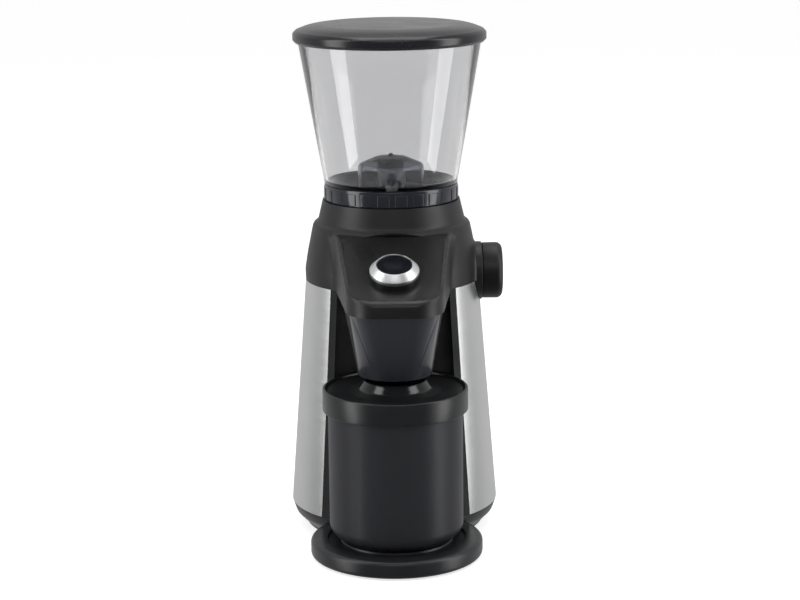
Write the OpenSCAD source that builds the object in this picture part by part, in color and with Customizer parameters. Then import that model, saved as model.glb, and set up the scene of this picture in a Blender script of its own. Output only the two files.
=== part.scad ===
// Conical burr coffee grinder: bean hopper on top, a round tapered body with a steel
// wrap, an overhanging control nose, and a grounds bin that stands in a niche below it.
// Z is up, the table is z = 0, and the burr axis is x = y = 0. The nose faces -Y.

/* [Body] */
// Radius of the body at the bottom edge of the steel wrap
body_r_bottom = 80.8; // [76:0.4:84]
// Radius of the body at the top edge of the steel wrap
body_r_top = 67.1; // [66:0.1:70]
// Height of the bottom edge of the steel wrap
steel_z0 = 19; // [17:0.5:24]
// Height of the top edge of the steel wrap
steel_z1 = 196; // [190:1:204]
// Thickness of the steel wrap
steel_t = 0.8; // [0.5:0.1:1.2]
// Half angle of the wrap's open front
steel_gap_angle = 45; // [43:1:50]
// Wall of the plastic mouldings
wall = 2.5; // [2:0.1:3]
// Height of the rubber feet below the tray
foot_h = 1; // [0.8:0.1:3]
// Radius of one rubber foot
foot_r = 8; // [6:0.5:10]
// Height of the base tray's flat deck
deck_z = 14; // [13:0.5:16]
// Radius of the round step in front of the body
step_r = 65; // [62:1:70]
// How far the tray is undercut below the steel wrap
undercut = 11.3; // [6:0.1:13]

/* [Nose] */
// Reach of the nose in front of the burr axis
nose_reach = 141; // [132:1:146]
// Radius of the nose's front corners
nose_corner_r = 24; // [20:1:28]
// Half width of the flat between those corners
nose_flat = 12; // [8:1:14]
// Taper of each side of the nose, in degrees
nose_taper = 6.4; // [4:0.2:8]
// Slope of the control panel, in degrees
panel_slope = 22.3; // [19:0.1:25]
// Half width of the control panel at its top edge
panel_half_top = 38.2; // [34:0.2:38.4]
// Half width of the control panel at its bottom edge
panel_half_bottom = 32.4; // [28:0.2:33]
// Length of the control panel down the slope
panel_len = 84.4; // [72:0.2:85]
// Corner radius at the bottom of the control panel
panel_corner_r = 14; // [8:1:16]
// Thickness of the control panel
panel_t = 1.2; // [1:0.1:1.4]

/* [Hopper] */
// Outer radius of the hopper at its foot
hopper_r0 = 51.4; // [50.5:0.1:52]
// Outer radius of the hopper at its rim
hopper_r1 = 71; // [64:0.1:76]
// Height of the hopper's rim above its foot
hopper_h = 114; // [90:1:137]
// Wall of the hopper
hopper_t = 2.4; // [2:0.1:3]
// Radius of the bean throat in the hopper's floor
throat_r = 26; // [22:0.5:27]
// Radius of the guard over the throat
guard_r = 25.5; // [22:0.5:26]
// Height of the guard's crown above the hopper's foot
guard_h = 20; // [16:0.5:26]
// Rise of the lid's crowned edge
lid_crown = 4.5; // [2:0.1:6]

/* [Grounds bin] */
// Distance of the bin's axis in front of the burr axis
bin_reach = 90; // [86:0.5:92]
// Outer radius of the bin
bin_r = 50.5; // [44:0.5:52]
// Height of the bin's rim above the deck
bin_h = 112; // [100:1:113]
// Wall of the bin
bin_t = 2.2; // [1.6:0.1:3]
// Radius that rounds the bin's bottom edge
bin_round = 14; // [8:1:18]
// Radius of the hole that the grounds drop through in the bin's lid
bin_hole_r = 21.5; // [16:0.5:24]
// Radius of the chute's lower end
chute_r = 27.6; // [25:0.2:29]
// Wall of the chute
chute_t = 2; // [1.6:0.1:2.6]

/* [Controls] */
// Radius of the start button's metal ring
button_r = 18.2; // [15:0.2:20]
// Travel of the start button
button_travel = 2; // [1:0.2:2.4]
// Radius of the timer knob
knob_r = 21.8; // [17:0.2:22]
// Length of the timer knob
knob_len = 15.6; // [12:0.2:20]

/* [Drive] */
// Module of all the gears
gear_module = 1; // [1]
// Teeth on the motor pinion
pinion_teeth = 10; // [10:1:12]
// Teeth on the large wheel of the idler
idler_teeth = 46; // [44:1:46]
// Teeth on the small wheel of the idler
idler_pinion_teeth = 12; // [10:1:14]
// Radius of the motor
motor_r = 26; // [22:0.5:27]
// Length of the motor
motor_len = 70; // [55:1:75]
// Radius of the burr shaft
shaft_r = 4; // [3.5:0.1:4.5]
// Radius of the cone burr's lower edge
burr_r = 20; // [18:0.5:20]
// Lift of the ring burr for one turn of the adjusting ring
adjust_pitch = 2; // [1:0.5:2.5]

/* [Fits] */
// Running clearance of shafts in their bushes, on the radius
run_gap = 0.05; // [0.02:0.01:0.1]
// Clearance between mouldings that slide or lift past each other
slide_gap = 0.4; // [0.3:0.05:0.6]
// Clearance between mouldings that are fastened together
seat_gap = 0.1; // [0.05:0.05:0.2]

/* [Hidden] */
$fn = 96;

eps = 0.01;
overcut = 1;

// Heights of the main joints between mouldings
tray_z0 = foot_h;
tray_plate = 3;
housing_z0 = steel_z1;
shoulder_rise = 40;
shoulder_z = housing_z0 + shoulder_rise;
housing_rise = 62;
housing_z1 = housing_z0 + housing_rise;
housing_r1 = 53;
shoulder_r = 61.3;
ring_gap = 0.3;
ring_z0 = housing_z1 + ring_gap;
ring_h = 12.7;
hopper_z0 = ring_z0 + ring_h;
hopper_z1 = hopper_z0 + hopper_h;

// The steel wrap and the tower inside it follow this cone
function body_r(z) = body_r_bottom
    + (body_r_top - body_r_bottom) * (z - steel_z0) / (steel_z1 - steel_z0);
function arc(cx, cy, r, a0, a1, n = 6) =
    [for (i = [0:n]) let (a = a0 + (a1 - a0) * i / n) [cx + r * cos(a), cy + r * sin(a)]];
function hopper_r(z) = hopper_r0 + (hopper_r1 - hopper_r0) * (z - hopper_z0) / hopper_h;

// Niche and bin
bin_lid_t = 2.2;
bin_lid_r = bin_r + slide_gap + 1.4 + bin_lid_t;
niche_r = bin_lid_r + 2.5;
bin_foot_h = 2.5;
bin_foot_r = bin_r - bin_round + 4;
bin_lift = 0.1;
bin_z0 = deck_z + bin_lift + bin_foot_h;
bin_z1 = deck_z + bin_h;
bin_lid_z1 = bin_z1 + 4.5;
bin_collar_z = bin_z1 + 10.5;
bin_collar_r = bin_hole_r + 2;
chute_gap = 4.6;
chute_z0 = bin_collar_z + chute_gap;
groove_r0 = bin_foot_r + 2;
groove_r1 = bin_r + 1.5;
groove_depth = 1.6;
tray_r0 = body_r(steel_z0) - undercut;
tray_foot_z = tray_z0 + 1.5;
tray_bead_z = tray_z0 + 10;
rim_t = 2.4;
tray_bead_r = body_r(steel_z0) - undercut / 4;

// Outside of the tray between tray_bead_z and the wrap
function tray_r(z) = tray_bead_r + undercut / 4 * (z - tray_bead_z) / (steel_z0 - tray_bead_z);
seat_r = tray_r(deck_z) - rim_t;

// Nose and control panel
nose_cy = -(nose_reach - nose_corner_r);
panel_top_y = -58;
panel_top_z = shoulder_z + 2;
nose_round = 6;
nose_root_y = -48;
nose_drop = 2.6;
nose_fillet = 9;

// Timer knob, on the right side
knob_z = housing_z0 + 4;
knob_x0 = 70;
knob_boss_r = knob_r + 0.7;
spindle_r = 3;
knob_boss_t = 3;
switch_body_t = 10;
switch_x0 = knob_x0 - slide_gap - knob_boss_t - switch_body_t - seat_gap;
switch_neck_r = 4.6;

// Gear train, in two stages between two parallel axes
center_dist = gear_module * (pinion_teeth + idler_teeth) / 2;
output_teeth = 2 * center_dist / gear_module - idler_pinion_teeth;
pressure_angle = 25;
tooth_addendum = 0.8;
tooth_dedendum = 1.05;
tooth_backlash = 0.2;
case_plate = 3;
case_h = 33;
cover_t = 3;
damper_t = 2;
tower_deck_t = 3;
tower_z1 = steel_z1 - seat_gap;
tower_deck_z0 = tower_z1 - tower_deck_t;
case_z1 = tower_deck_z0 - cover_t;
case_z0 = case_z1 - case_h;
motor_z1 = case_z0 - damper_t;
motor_z0 = motor_z1 - motor_len;
pinion_z0 = case_z0 + case_plate + 1;
wheel_h = 8;
stage_gap = 1.5;
case_wall = 2.5;
case_clear = 2.5;
bush_r = 7;
boss_r = 9.5;
bearing_r = 9;
bearing_h = 6;

// Grinding chamber
chamber_z0 = tower_z1;
chamber_floor = 3;
chamber_r = 31;
chamber_wall = 3;
chamber_h = 36;
lug_drop = 9;
key_slot_h = lug_drop + adjust_pitch + 2;
impeller_z0 = chamber_z0 + chamber_floor + bearing_h + 0.5;
impeller_r = 27;
impeller_h = 8.5;
burr_z0 = impeller_z0 + impeller_h + 0.5;
burr_h = 22;
burr_top_r = 11;
burr_gap = 0.8;
ring_burr_z0 = burr_z0 + 2;
ring_burr_h = 20;
ring_burr_r = 26;
ring_burr_top_r = 19.4;
carrier_z1 = ring_burr_z0 + ring_burr_h + 8;
carrier_flange_r = 40.4;
carrier_throat_r = 23.5;
skirt_r = 46.8;
screw_r = 1.5;
burr_screw_circle = 23.6;
chamber_feet = [12, 90, 168];
duct_half = 12;
duct_h = 9;
duct_z0 = impeller_z0 + 1;

// ---- Shared shapes ----

module between(z0, z1) translate([0, 0, z0]) linear_extrude(z1 - z0) children();

module tube(r_out, r_in, z0, z1) difference() {
    translate([0, 0, z0]) cylinder(r = r_out, h = z1 - z0);
    translate([0, 0, z0 - overcut]) cylinder(r = r_in, h = z1 - z0 + 2 * overcut);
}

// Solid cone of the body, drawn inside its surface by inset
module body_cone(z0, z1, inset) translate([0, 0, z0])
    cylinder(r1 = body_r(z0) - inset, r2 = body_r(z1) - inset, h = z1 - z0);

// Wedge that opens the front of the body by a half angle
module front_wedge(z0, z1, half_angle) {
    reach = 2 * body_r_bottom;
    between(z0, z1) polygon([
        [0, 0], [-reach * sin(half_angle), -reach * cos(half_angle)], [0, -2 * reach],
        [reach * sin(half_angle), -reach * cos(half_angle)]
    ]);
}

module niche(z0, z1, grow = 0) translate([0, -bin_reach, z0])
    cylinder(r = niche_r + grow, h = z1 - z0);

// Screw with a domed head, its head's top at the origin and its shank along -Z
module screw(shank_r, head_r, head_h, length) {
    translate([0, 0, -head_h]) cylinder(r1 = head_r, r2 = head_r * 0.8, h = head_h);
    translate([0, 0, -length]) cylinder(r = shank_r, h = length - head_h + eps);
}

// ---- Base ----

foot_places = [
    [0, 0], [47, 30], [-47, 30], [38, -bin_reach - 28], [-38, -bin_reach - 28]
];
screw_places = [[0, 54], [50, -14], [-50, -14], [0, -bin_reach - 34], [0, -bin_reach + 34]];
screw_tip_z = deck_z - 1.4;

module base_outline(inset) {
    circle(r = tray_r0 - inset);
    translate([0, -bin_reach]) circle(r = step_r - inset);
}

// The step's edge, rounded above and below
module step_solid() {
    edge = 3.5;
    translate([0, -bin_reach, 0]) rotate_extrude() polygon(concat(
        [[0, tray_z0]],
        arc(step_r - edge, tray_z0 + edge, edge, -90, 0),
        arc(step_r - edge, deck_z - edge, edge, 0, 90),
        [[0, deck_z]]
    ));
}

module base_tray() color("#26272a") difference() {
    union() {
        step_solid();
        rotate_extrude() polygon([
            [0, tray_z0], [tray_r0, tray_z0], [tray_r0, tray_foot_z], [tray_bead_r, tray_bead_z],
            [tray_r(steel_z0 - seat_gap), steel_z0 - seat_gap], [0, steel_z0 - seat_gap]
        ]);
    }
    between(tray_z0 - overcut, deck_z - tray_plate) base_outline(rim_t + 1);
    translate([0, 0, deck_z])
        cylinder(r = seat_r, h = steel_z0 - deck_z + overcut);
    niche(deck_z, steel_z0 + overcut);
    translate([0, -bin_reach, 0]) tube(groove_r1, groove_r0, deck_z - groove_depth, deck_z + overcut);
    for (p = screw_places) translate([p[0], p[1], 0]) cylinder(r = screw_r, h = screw_tip_z + 0.4);
}

module bottom_cover() color("#1d1e20") difference() {
    union() {
        between(tray_z0, tray_z0 + wall) base_outline(rim_t + 1 + slide_gap);
        for (p = screw_places) translate([p[0], p[1], 0])
            tube(4.5, screw_r + seat_gap, tray_z0 + wall - eps, deck_z - tray_plate - seat_gap);
    }
    for (p = foot_places) translate([p[0], p[1], tray_z0 - overcut])
        cylinder(r = foot_r - 2 + seat_gap, h = wall + 2 * overcut);
    for (p = screw_places) translate([p[0], p[1], tray_z0 - overcut])
        cylinder(r = 3.4, h = overcut + 1.5);
    for (p = screw_places) translate([p[0], p[1], tray_z0 - overcut])
        cylinder(r = screw_r + seat_gap, h = wall + 2 * overcut);
    for (i = [-4:4]) translate([i * 7 - 1.5, 12, tray_z0 - overcut]) cube([3, 34, wall + 2 * overcut]);
}

module rubber_feet() color("#121213") for (p = foot_places) translate([p[0], p[1], 0]) {
    cylinder(r1 = foot_r - 0.8, r2 = foot_r, h = foot_h - seat_gap);
    translate([0, 0, foot_h - seat_gap - eps]) cylinder(r = foot_r - 2, h = wall + seat_gap);
}

module cover_screws() color("#b8babd") for (p = screw_places)
    translate([p[0], p[1], tray_z0 + 0.2]) rotate([180, 0, 0])
        screw(screw_r - 0.05, 3.1, 1.2, screw_tip_z - tray_z0 - 0.2);

// ---- Tower and steel wrap ----

gland_z = 32;
gland_r = 6.5;

tower_foot_r = seat_r - seat_gap;

module inner_tower() color("#1b1c1f") {
    difference() {
        union() {
            body_cone(steel_z0, tower_z1, steel_t + seat_gap);
            translate([0, 0, deck_z + seat_gap]) cylinder(r = tower_foot_r, h = steel_z0 - deck_z);
            // The front edges come out flush with the steel
            intersection() {
                body_cone(steel_z0, tower_z1, 0);
                front_wedge(steel_z0 - overcut, steel_z1 + overcut, steel_gap_angle - 0.4);
            }
        }
        // The hollow leaves the outer wall, the wall round the niche, and the deck on top,
        // which carries the gear case and the grinding chamber
        difference() {
            union() {
                body_cone(steel_z0, tower_deck_z0, steel_t + wall + seat_gap);
                translate([0, 0, deck_z - overcut])
                    cylinder(r = tower_foot_r - wall, h = steel_z0 - deck_z + 2 * overcut);
            }
            niche(deck_z - 2 * overcut, steel_z1, wall);
        }
        niche(deck_z - overcut, steel_z1 + overcut);
        translate([0, 0, tower_deck_z0 - overcut])
            cylinder(r = boss_r + seat_gap, h = tower_deck_t + 2 * overcut);
        for (p = case_screw_places) translate([p[0], p[1], tower_deck_z0 - overcut])
            cylinder(r = screw_r + seat_gap, h = tower_deck_t + 2 * overcut);
        for (p = housing_screw_places) translate([p[0], p[1], tower_deck_z0 - overcut])
            cylinder(r = screw_r + seat_gap, h = tower_deck_t + 2 * overcut);
        gland_hole();
        // Way up for the wires
        translate([-46, 14, tower_deck_z0 - overcut]) cylinder(r = 5, h = tower_deck_t + 2 * overcut);
        knob_relief();
    }
    // Posts for the control board
    for (x = [-30, 30]) translate([x - 3, board_y + board_t + 0.2, board_z0 - 4])
        intersection() {
            cube([6, body_r_bottom, board_h + 8]);
            translate([3 - x, -board_y - board_t - 0.2, 4 - board_z0])
                body_cone(board_z0 - 4, board_z0 + board_h + 4, steel_t + wall - 0.5);
        }
}

module gland_hole() translate([0, body_r(gland_z) - 12, gland_z]) rotate([-90, 0, 0])
    cylinder(r = gland_r + seat_gap, h = 20);

// Clears the round boss behind the knob
module knob_relief() along_x(40) cylinder(r = knob_boss_r + slide_gap, h = 60);

module steel_shell() color("#c4c6c8") difference() {
    body_cone(steel_z0, steel_z1 - seat_gap, 0);
    body_cone(steel_z0 - overcut, steel_z1 + overcut, steel_t);
    front_wedge(steel_z0 - overcut, steel_z1 + overcut, steel_gap_angle);
    gland_hole();
    knob_relief();
}

module cord_gland() color("#161617") translate([0, body_r(gland_z), gland_z])
    rotate([-90, 0, 0]) difference() {
        union() {
            translate([0, 0, -7]) cylinder(r = gland_r, h = 9);
            translate([0, 0, 0.9]) cylinder(r1 = gland_r + 3, r2 = gland_r + 1.5, h = 3);
            translate([0, 0, -8.6]) cylinder(r = gland_r - 0.6, h = 2);
        }
        translate([0, 0, -9]) cylinder(r = 3.4, h = 16);
    }

// ---- Upper housing with the nose ----

// Plan of the nose, inset from its outside; straight sides run tangent to the round corners
module nose_plan(inset) {
    r = nose_corner_r - inset;
    tx = nose_flat + r * cos(nose_taper);
    ty = nose_cy - r * sin(nose_taper);
    back_x = tx + (-20 - ty) * tan(nose_taper);
    polygon([
        [-back_x, -20], [-tx, ty], [-nose_flat, nose_cy - r], [nose_flat, nose_cy - r],
        [tx, ty], [back_x, -20]
    ]);
    for (side = [-1, 1]) translate([side * nose_flat, nose_cy]) circle(r = r);
    for (side = [0, 1]) mirror([side, 0]) nose_fillet_plan(tx, ty, shoulder_r - inset, nose_fillet + inset);
}

// Fills the corner between one straight side and the round body with a concave arc
module nose_fillet_plan(tx, ty, round_r, r) {
    // The arc's centre is r away from the side and round_r + r away from the axis, less a
    // little, so that both ends of the arc run into the solid
    bite = 0.1;
    foot = [tx + (r - bite) * cos(nose_taper), ty - (r - bite) * sin(nose_taper)];
    run = [sin(nose_taper), cos(nose_taper)];
    along = foot * run;
    reach = -along - sqrt(pow(along, 2) - foot * foot + pow(round_r + r - bite, 2));
    center = foot + reach * run;
    a0 = 180 - nose_taper;
    a1 = atan2(-center[1], -center[0]);
    polygon(concat(arc(center[0], center[1], r, a0, a1), [[20, -20]]));
}

// Height of the panel surface above the table at a distance y from the burr axis
function panel_z(y) = panel_top_z - (panel_top_y - y) * tan(panel_slope);

// Side view of the nose: flat below, sloped above, with a rounded upper front edge
module nose_side(inset, z0) {
    front = nose_reach - inset;
    r = nose_round;
    top = panel_z(-front) - inset / cos(panel_slope);
    lead = r * tan((90 - panel_slope) / 2);
    crest = panel_top_z - inset;
    crest_y = -panel_top_y + inset * tan(panel_slope / 2);
    rotate([90, 0, -90]) translate([0, 0, -body_r_top]) linear_extrude(2 * body_r_top) polygon(concat(
        [[20, z0], [-nose_root_y, z0], [front, z0 - nose_drop]],
        arc(front - r, top - lead, r, 0, 90 - panel_slope),
        [[crest_y, crest], [20, crest]]
    ));
}

module nose_solid(inset, z0) intersection() {
    between(z0 - nose_drop, housing_z1) nose_plan(inset);
    nose_side(inset, z0);
}

function housing_profile(inset) = concat(
    [[body_r_top - inset, housing_z0], [body_r_top + 0.3 - inset, housing_z0 + 8],
     [body_r_top - 2 - inset, shoulder_z - 18]],
    arc(shoulder_r - 4.5 - inset, shoulder_z, 4.5, 0, 78),
    [[shoulder_r - 4.2 - inset, shoulder_z + 4.8], [housing_r1 - inset, housing_z1]]
);

module housing_solid(inset) {
    points = housing_profile(inset);
    rotate_extrude() polygon(concat([[0, housing_z0 - overcut * sign(inset)]],
        [[points[0][0], housing_z0 - overcut * sign(inset)]], points, [[0, housing_z1]]));
}

module panel_frame() translate([0, panel_top_y, panel_top_z]) rotate([panel_slope, 0, 0]) children();

module panel_plan(grow) {
    r = panel_corner_r;
    polygon([
        [-panel_half_top - grow, 0], [-panel_half_bottom - grow, -panel_len + r],
        [-panel_half_bottom + r, -panel_len - grow], [panel_half_bottom - r, -panel_len - grow],
        [panel_half_bottom + grow, -panel_len + r], [panel_half_top + grow, 0]
    ]);
    for (side = [-1, 1]) translate([side * (panel_half_bottom - r), -panel_len + r])
        circle(r = r + grow);
}

button_s = 54.4;
bezel_r = button_r - 1.1;
bezel_inner_r = 11;
module button_frame() panel_frame() translate([0, -button_s, 0]) children();

// Plan of the chute's upper end, which fits inside the lip of the nose
chute_seat = wall + seat_gap;
collar_h = 6.5;
latch_half = 18.8;
latch_depth = 0.8;
module chute_opening(grow) intersection() {
    nose_plan(chute_seat - grow);
    translate([-50, -nose_reach]) square([100, nose_reach + chute_back_y + grow]);
}
chute_back_y = -61;
housing_screw_places = [for (a = [60, 120, 210, 330]) 61.5 * [cos(a), sin(a)]];

module upper_housing() color("#242528") difference() {
    union() {
        difference() {
            union() {
                housing_solid(0);
                nose_solid(0, housing_z0);
                // Boss behind the timer knob
                along_x(54) cylinder(r = knob_boss_r, h = knob_x0 - 54 - slide_gap);
                intersection() {
                    translate([58, 0, knob_z]) rotate([0, 90, 0])
                        cylinder(r1 = knob_boss_r + 4, r2 = knob_boss_r, h = 7);
                    between(housing_z0, housing_z1) circle(r = knob_x0);
                }
            }
            housing_solid(wall);
            nose_solid(wall, housing_z0 - overcut);
            along_x(40) cylinder(r = knob_boss_r - wall, h = knob_x0 - slide_gap - knob_boss_t - 40);
        }
        // Floor of the nose
        intersection() {
            between(housing_z0, housing_z0 + wall) nose_plan(0.5);
            translate([-60, -nose_reach, housing_z0]) cube([120, nose_reach - 37, wall]);
        }
        // Collar that the chute slips over
        difference() {
            between(housing_z0 - collar_h, housing_z0 + eps) chute_opening(-chute_t - slide_gap);
            between(housing_z0 - collar_h - 1, housing_z0 + 1) chute_opening(-chute_t - slide_gap - 1.6);
        }
        for (p = housing_screw_places) translate([p[0], p[1], housing_z0]) cylinder(r = 4, h = 12);
        // Collar that the adjusting ring turns in
        tube(housing_r1 - 0.6, skirt_r + slide_gap, housing_z1 - 8, housing_z1);
    }
    // Way out for the grounds
    translate([-duct_half - duct_t - seat_gap, duct_y1 - seat_gap, housing_z0 - 1])
        cube([2 * (duct_half + duct_t + seat_gap), drop_y0 - duct_y1 + 2 * seat_gap, wall + 2]);
    // Shallow recess in the front of the nose
    translate([-latch_half, -nose_reach - 1, housing_z0 - nose_drop - 1])
        cube([2 * latch_half, 1 + latch_depth, 10 + 1]);
    translate([0, 0, housing_z1 - 9]) cylinder(r = skirt_r + slide_gap, h = 12);
    panel_frame() translate([0, 0, -panel_t]) linear_extrude(panel_t + 8) panel_plan(0.15);
    button_frame() translate([0, 0, -12]) cylinder(r = bezel_inner_r + 1, h = 14);
    along_x(60) cylinder(r = switch_neck_r + seat_gap, h = 14);
    for (p = housing_screw_places) translate([p[0], p[1], housing_z0 - 1]) cylinder(r = screw_r, h = 11);
}

module housing_screws() color("#b8babd") for (p = housing_screw_places)
    translate([p[0], p[1], tower_deck_z0 - 1.7]) rotate([180, 0, 0]) screw(screw_r - 0.05, 2.3, 1.6, 13);

module control_panel() color("#101113") panel_frame() difference() {
    translate([0, 0, -panel_t + 0.05]) linear_extrude(panel_t - 0.05) panel_plan(0);
    translate([0, -button_s, -panel_t - 1]) cylinder(r = bezel_inner_r + 1, h = panel_t + 2);
}

// ---- Start button ----

bezel_h = 4.4;
ring_clear = 0.3;
sleeve_l = 5;
ring_z = 4.3;
ring_skirt = 2.4;
ring_cone = 4.6;
cap_r = 13.2;

module button_bezel() color("#1a1b1d") button_frame() difference() {
    union() {
        translate([0, 0, 0.02]) cylinder(r = bezel_r, h = bezel_h);
        translate([0, 0, -sleeve_l]) cylinder(r = bezel_inner_r + 0.9, h = sleeve_l + 0.1);
    }
    translate([0, 0, -sleeve_l - 1]) cylinder(r = bezel_inner_r - 1.5, h = 14);
}

module button_ring() color("#e2e3e4") button_frame() rotate_extrude() polygon([
    [bezel_r + ring_clear, ring_z], [button_r, ring_z], [button_r, ring_z + ring_skirt],
    [cap_r + 0.5, ring_z + ring_skirt + ring_cone], [cap_r, ring_z + ring_skirt + ring_cone],
    [cap_r, ring_z + ring_skirt + 0.5], [bezel_r + ring_clear, ring_z + ring_skirt]
]);

module button_cap() color("#15161c") button_frame() {
    cap_z = ring_z + ring_skirt + 0.5;
    crown = ring_cone - 0.9;
    translate([0, 0, cap_z]) rotate_extrude() polygon(concat(
        [[0, 0], [cap_r - 0.05, 0]],
        arc(cap_r - 0.85, crown - 0.8, 0.8, 0, 90, 4),
        [[0, crown - 0.6]]
    ));
}

module button_stem() color("#2b2c2f") button_frame() difference() {
    translate([0, 0, -stem_l]) cylinder(r = 4, h = ring_z + ring_skirt + 0.5 + stem_l);
    translate([0, 0, -stem_l - 1]) cylinder(r = 1.5, h = 6);
}

stem_l = 4.6;
spring_z0 = -4.6;
spring_z1 = ring_z + ring_skirt + 0.4;
module button_spring() color("#9c9ea1") button_frame() {
    turns = 4;
    pitch = (spring_z1 - spring_z0) / turns;
    for (i = [0:turns]) translate([0, 0, spring_z0 + 0.4 + i * (pitch - 0.2)])
        rotate_extrude() translate([6.4, 0]) circle(r = 0.4, $fn = 16);
}

module micro_switch() color("#3a3b3f") button_frame() {
    body_z = -stem_l - button_travel - 9;
    translate([-6.4, -3, body_z]) cube([12.8, 6, 6.5]);
    translate([0, 0, body_z + 6.4]) cylinder(r = 1.6, h = 2.4);
    for (x = [-5, 0, 5]) translate([x - 0.3, -1, body_z - 2.8]) cube([0.6, 2, 3]);
    // Bracket that ties the switch to the bezel's sleeve
    translate([-11.3, -3, body_z + 0.6]) cube([22.6, 6, 1.2]);
    for (side = [-1, 1]) translate([side * 10.3 - 1, -3, body_z + 0.6])
        cube([2, 6, -sleeve_l - body_z - 0.6]);
}

// ---- Timer knob ----

module along_x(x) translate([x, 0, knob_z]) rotate([0, 90, 0]) children();

module rotary_switch() color("#3b4a3f") along_x(switch_x0) {
    difference() {
        union() {
            cylinder(r = 12, h = switch_body_t);
            translate([0, 0, switch_body_t - eps]) cylinder(r = switch_neck_r, h = knob_boss_t + 0.4);
        }
        translate([0, 0, 1]) cylinder(r = spindle_r + run_gap, h = 20);
    }
    for (y = [-6, 0, 6]) translate([-11 - 4, y - 0.6, 3]) cube([5, 1.2, 0.8]);
}

module knob_spindle() color("#b9bbbe")
    along_x(switch_x0 + 1.2) cylinder(r = spindle_r, h = knob_x0 + 9 - switch_x0 - 1.2);

module timer_knob() color("#17181a") along_x(knob_x0) difference() {
    round_r = 5;
    rotate_extrude() polygon(concat(
        [[0, 0], [knob_r - 0.6, 0], [knob_r, 0.6]],
        arc(knob_r - round_r, knob_len - round_r, round_r, 0, 90, 8),
        [[0, knob_len]]
    ));
    translate([0, 0, -overcut]) rotate_extrude() polygon([
        [7, 0], [knob_r - wall, 0], [knob_r - wall, knob_len - 5 - overcut], [7, knob_len - 5 - overcut]
    ]);
    translate([0, 0, -overcut]) cylinder(r = spindle_r + 0.02, h = 9.5 + overcut);
    // Seat for the end disc, and a groove as the pointer
    translate([0, 0, knob_len - 0.8]) cylinder(r = 12.1, h = 2);
    translate([-knob_r - 1, -0.6, knob_len - 0.6]) cube([knob_r - 11.6, 1.2, 2]);
}

module knob_cap() color("#232427") along_x(knob_x0 + knob_len - 0.75) cylinder(r = 12, h = 0.9);

// ---- Control board ----

board_y = 46;
board_t = 1.6;
board_w = 72;
board_z0 = 84;
board_h = 66;

module control_board() color("#2f6b46")
    translate([-board_w / 2, board_y, board_z0]) cube([board_w, board_t, board_h]);

module board_parts() color("#45484d") translate([0, board_y - 0.05, board_z0]) {
    translate([-30, -15, 40]) cube([19, 15, 15]);
    translate([-2, -12, 30]) cube([18, 12, 10]);
    translate([-30, -10, 6]) cube([26, 10, 8]);
    translate([24, 0, 48]) rotate([90, 0, 0]) cylinder(r = 6, h = 13);
    translate([20, 0, 22]) rotate([90, 0, 0]) cylinder(r = 4, h = 11);
    for (i = [0:3]) translate([2 + i * 5, -9, 8]) cube([2, 9, 14]);
}

// ---- Motor ----

case_screw_places = [[36, -14], [-36, -14], [32, 32], [-32, 32]];
motor_screw_circle = 16;

module motor_can() color("#8d9094") difference() {
    translate([0, 0, motor_z0 + 6]) cylinder(r = motor_r, h = motor_len - 6);
    translate([0, 0, motor_z0 + 5]) cylinder(r = motor_r - 1.5, h = motor_len - 7);
    translate([0, 0, motor_z1 - 3]) cylinder(r = 4 + run_gap, h = 5);
    for (x = [-1, 1]) translate([x * motor_screw_circle, 0, motor_z1 - 3])
        cylinder(r = screw_r + seat_gap, h = 5);
    for (a = [0:60:300]) rotate(a + 30) translate([0, 17.5, motor_z1 - 3]) cylinder(r = 3, h = 5);
}

module motor_end_cap() color("#202124") {
    difference() {
        translate([0, 0, motor_z0]) cylinder(r = motor_r, h = 6);
        translate([0, 0, motor_z0 + 2]) cylinder(r = motor_r - 2.5, h = 5);
        translate([0, 0, motor_z0 - 1]) cylinder(r = 2.5 + run_gap, h = 5);
    }
    tube(6.5, 2.5 + run_gap, motor_z0 - 3, motor_z0 + 5);
    for (x = [-1, 1]) translate([x * 14 - 3, -0.4, motor_z0 - 8]) cube([6, 0.8, 9]);
}

module motor_magnets() color("#55585c") for (a = [0, 180]) rotate(a)
    intersection() {
        tube(motor_r - 1.6, motor_r - 7, motor_z0 + 14, motor_z1 - 12);
        front_wedge(motor_z0, motor_z1, 60);
    }

module motor_damper() color("#141414") difference() {
    translate([0, 0, motor_z1]) cylinder(r = motor_r, h = damper_t);
    translate([0, 0, motor_z1 - 1]) cylinder(r = 10, h = damper_t + 2);
    for (x = [-1, 1]) translate([x * motor_screw_circle, 0, motor_z1 - 1])
        cylinder(r = screw_r + seat_gap, h = damper_t + 2);
}

module motor_screws() color("#b8babd") for (x = [-1, 1])
    translate([x * motor_screw_circle, 0, case_z0 + case_plate + 1.65])
        screw(screw_r - 0.05, 2.8, 1.6, 8.5);

module armature() color("#a06a3c") difference() {
    union() {
        translate([0, 0, motor_z0 + 18]) cylinder(r = motor_r - 8.2, h = motor_len - 36);
        translate([0, 0, motor_z0 + 9]) cylinder(r = 9, h = 9.1);
    }
    translate([0, 0, motor_z0]) cylinder(r = 2.5, h = motor_len);
    for (a = [0:60:300]) rotate(a) translate([-1.2, motor_r - 13, motor_z0 + 17]) cube([2.4, 6, motor_len]);
}

module motor_shaft() color("#c3c5c8") translate([0, 0, motor_z0 - 2])
    cylinder(r = 2.5 - 0.005, h = pinion_z0 + wheel_h + 2.5 - motor_z0 + 1.5);

// ---- Gears ----

// Angle, in degrees, that an involute from base radius rb has turned through at radius r
function involute_angle(r, rb) = sqrt(pow(r / rb, 2) - 1) * 180 / PI - acos(rb / r);

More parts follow.
